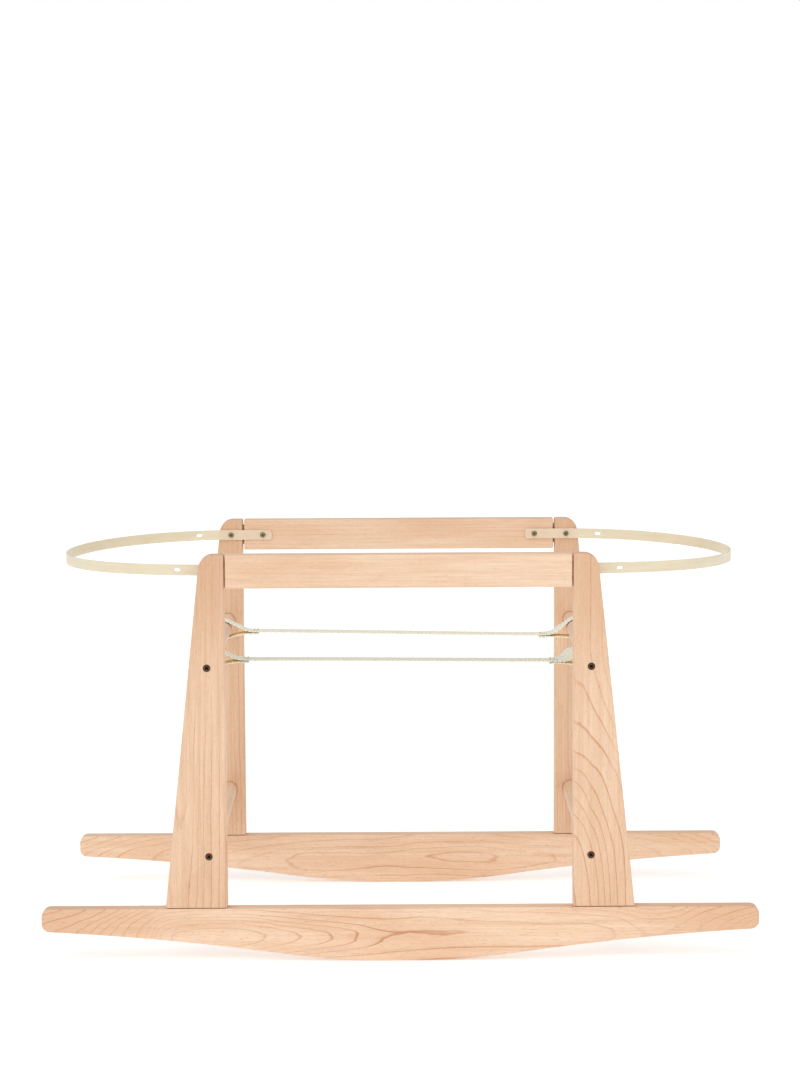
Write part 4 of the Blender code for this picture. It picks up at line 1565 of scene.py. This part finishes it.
def band_point(route, column, across, upper, middle_y):
    """Where a point of the band lies: across runs from -1 to 1 between the selvages."""
    settings = bpy.context.scene.stand_straps
    distance, x, z, roll = route[column]
    before = route[max(column - 1, 0)]
    after = route[min(column + 1, len(route) - 1)]
    along = Vector((after[1] - before[1], 0, after[2] - before[2])).normalized()
    face = Vector((0, 1, 0)).cross(along) * -1
    side = Vector((0, 1, 0)) * math.cos(roll) + face * math.sin(roll)
    proud = face * math.cos(roll) - Vector((0, 1, 0)) * math.sin(roll)
    rib = 0.5 - 0.5 * math.cos(2 * math.pi * distance / settings.rib)
    pair = math.cos(math.pi * distance / settings.rib)
    edge = abs(across)
    roundness = math.sqrt(max(1 - edge**10, 0.0))
    half = settings.thickness / 2 * lerp(BETWEEN_RIBS, 1, rib)
    half *= lerp(SELVAGE, 1, roundness)
    half *= 1 - PINCH * max(pair, 0) * edge**4
    reach = settings.width / 2 - 0.5 * MM - PINCH_REACH * max(pair, 0) * edge**6
    spot = Vector((x, middle_y, LEVEL["upper"] + z))
    return spot + side * across * reach + proud * (half if upper else -half)


def stitch_rows(name, frame_name):
    """Three zigzag rows through both layers, over each sewn tail."""
    settings = bpy.context.scene.stand_straps
    first = settings.tail + 2.2 * MM
    last = settings.fork - 3 * MM
    tacks = []
    for end_name, end in ENDS.items():
        drop = STRAP_HANG[frame_name][end_name]
        layer = settings.thickness * LAYERS
        for row in range(3):
            x = end * lerp(first, last, row / 2)
            tacks.append(zigzag(x, STRAP_Y[frame_name], LEVEL["upper"] + drop, layer))
    return joined(tacks, name)


def zigzag(x, middle_y, height, layer):
    """One row of thread across the band, showing above and below it."""
    settings = bpy.context.scene.stand_straps
    half = settings.width / 2 - 2.2 * MM
    above = settings.thickness * 0.52
    sway = 0.9 * MM
    passes = 17
    curve = bpy.data.curves.new("thread", "CURVE")
    curve.dimensions = "3D"
    curve.bevel_depth = 0.22 * MM
    curve.bevel_resolution = 1
    for rise in (above, -layer - above):
        spline = curve.splines.new("POLY")
        spline.points.add(passes - 1)
        for n in range(passes):
            lean = sway if n % 2 else -sway
            y = middle_y + lerp(-half, half, n / (passes - 1))
            spline.points[n].co = (x + lean, y, height + rise, 1)
    thread = bpy.data.objects.new("thread", curve)
    bpy.context.scene.collection.objects.link(thread)
    only(thread)
    bpy.ops.object.convert(target="MESH")
    return bpy.context.object


class BASKETSTAND_OT_straps(StandOperator):
    """Build the two webbing straps, looped over the upper crossbars and sewn"""

    bl_idname = "basket_stand.straps"
    bl_label = "Straps"

    def execute(self, context):
        material = cotton_webbing("cream_cotton_webbing")
        thread = cotton_thread("cream_sewing_thread")
        for frame_name in FRAMES:
            band = webbing_band(f"{frame_name}_webbing_band", frame_name)
            outwards(band)
            smooth(band, 60)
            body = frame_name + "_strap"
            finish_piece(band, material, "webbing", body, "strap_" + frame_name)
            rows = stitch_rows(f"{frame_name}_strap_stitching", frame_name)
            dress(rows, thread)
            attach(rows, body)
        return {"FINISHED"}


# ---------------------------------------------------------------- stage


def add_softbox(name, place, target, size, power):
    """A square area light that looks at a target."""
    light = bpy.data.lights.new(name, "AREA")
    light.shape = "SQUARE"
    light.size = size
    light.energy = power
    box = bpy.data.objects.new(name, light)
    bpy.context.scene.collection.objects.link(box)
    box.location = place
    box.rotation_euler = (Vector(target) - Vector(place)).to_track_quat("-Z", "Y").to_euler()


def add_floor():
    """A wide pale floor that gives off a little light, so that no horizon shows."""
    glow = 0.32
    deselect_all()
    bpy.ops.mesh.primitive_plane_add(size=24, location=(0, 0, -0.5 * MM))
    floor = named("studio_floor")
    material, sheet, shader = new_material("pale_floor", Roughness=0.9)
    colour = with_alpha(bpy.context.scene.stand_stage.floor)
    sheet.feed(shader, Base_Color=colour, Emission_Color=(1, 1, 1, 1), Emission_Strength=glow)
    floor.data.materials.append(material)


def add_surroundings():
    """White all round, brighter to the camera than as a light."""
    as_light = 0.625
    to_camera = 1.0
    world = bpy.data.worlds.new("Soft white")
    world.use_nodes = True
    sky = NodeSheet(world.node_tree)
    seen = sky.add("ShaderNodeLightPath").outputs["Is Camera Ray"]
    background = world.node_tree.nodes["Background"]
    strength = sky.remap(seen, 0, 1, as_light, to_camera)
    sky.feed(background, Color=(1, 1, 1, 1), Strength=strength)
    bpy.context.scene.world = world
    bpy.context.scene.view_settings.view_transform = "Standard"


def add_daylight(direction):
    """A very soft sun."""
    daylight = bpy.data.lights.new("daylight", "SUN")
    daylight.energy = 1.0
    daylight.angle = math.radians(60)
    window = bpy.data.objects.new("daylight", daylight)
    bpy.context.scene.collection.objects.link(window)
    window.rotation_euler = Vector(direction).to_track_quat("-Z", "Y").to_euler()


def add_camera():
    """A long lens, a little above the stand."""
    settings = bpy.context.scene.stand_stage
    lens = bpy.data.cameras.new("Camera")
    lens.lens = settings.lens
    lens.sensor_width = 36
    camera = bpy.data.objects.new("Camera", lens)
    bpy.context.scene.collection.objects.link(camera)
    aim = Matrix.Rotation(math.radians(90) - settings.camera_dip, 4, "X")
    roll = Matrix.Rotation(settings.camera_roll, 4, "Z")
    camera.matrix_world = Matrix.Translation(settings.camera_place) @ aim @ roll
    bpy.context.scene.camera = camera


class BASKETSTAND_OT_stage(StandOperator):
    """Set the floor, the soft lights and the camera"""

    bl_idname = "basket_stand.stage"
    bl_label = "Stage"

    def execute(self, context):
        add_floor()
        add_surroundings()
        middle = (0, 0, 0.25)
        add_softbox("key_softbox", (-1.6, -2.4, 2.2), middle, 1.4, 5)
        add_softbox("fill_softbox", (2.2, -2.0, 1.4), middle, 1.6, 7)
        add_daylight((0.25, 0.55, -0.80))
        add_camera()
        return {"FINISHED"}


STEPS = (
    BASKETSTAND_OT_stage,
    BASKETSTAND_OT_rockers,
    BASKETSTAND_OT_legs,
    BASKETSTAND_OT_rails,
    BASKETSTAND_OT_crossbars,
    BASKETSTAND_OT_bolts,
    BASKETSTAND_OT_hoop_screws,
    BASKETSTAND_OT_hidden_fittings,
    BASKETSTAND_OT_hoops,
    BASKETSTAND_OT_straps,
)


class BASKETSTAND_PT_panel(bpy.types.Panel):
    """The stand's settings and building steps"""

    bl_idname = "BASKETSTAND_PT_panel"
    bl_label = "Basket Stand"
    bl_space_type = "VIEW_3D"
    bl_region_type = "UI"
    bl_category = "Basket Stand"

    def draw(self, context):
        for label in GROUPS:
            settings = getattr(context.scene, label)
            box = self.layout.box()
            for field in settings.bl_rna.properties.keys():
                if field not in ("rna_type", "name"):
                    box.prop(settings, field)
        for step in STEPS:
            self.layout.operator(step.bl_idname)


def register():
    for group in GROUPS.values():
        bpy.utils.register_class(group)
    for label, group in GROUPS.items():
        setattr(bpy.types.Scene, label, bpy.props.PointerProperty(type=group))
    for step in STEPS:
        bpy.utils.register_class(step)
    bpy.utils.register_class(BASKETSTAND_PT_panel)


def unregister():
    bpy.utils.unregister_class(BASKETSTAND_PT_panel)
    for step in reversed(STEPS):
        bpy.utils.unregister_class(step)
    for label in GROUPS:
        delattr(bpy.types.Scene, label)
    for group in reversed(list(GROUPS.values())):
        bpy.utils.unregister_class(group)


def main():
    register()
    bpy.ops.basket_stand.stage()
    bpy.ops.basket_stand.rockers()
    bpy.ops.basket_stand.legs()
    bpy.ops.basket_stand.rails()
    bpy.ops.basket_stand.crossbars()
    bpy.ops.basket_stand.bolts()
    bpy.ops.basket_stand.hoop_screws()
    bpy.ops.basket_stand.hidden_fittings()
    bpy.ops.basket_stand.hoops()
    bpy.ops.basket_stand.straps()


if __name__ == "__main__":
    main()
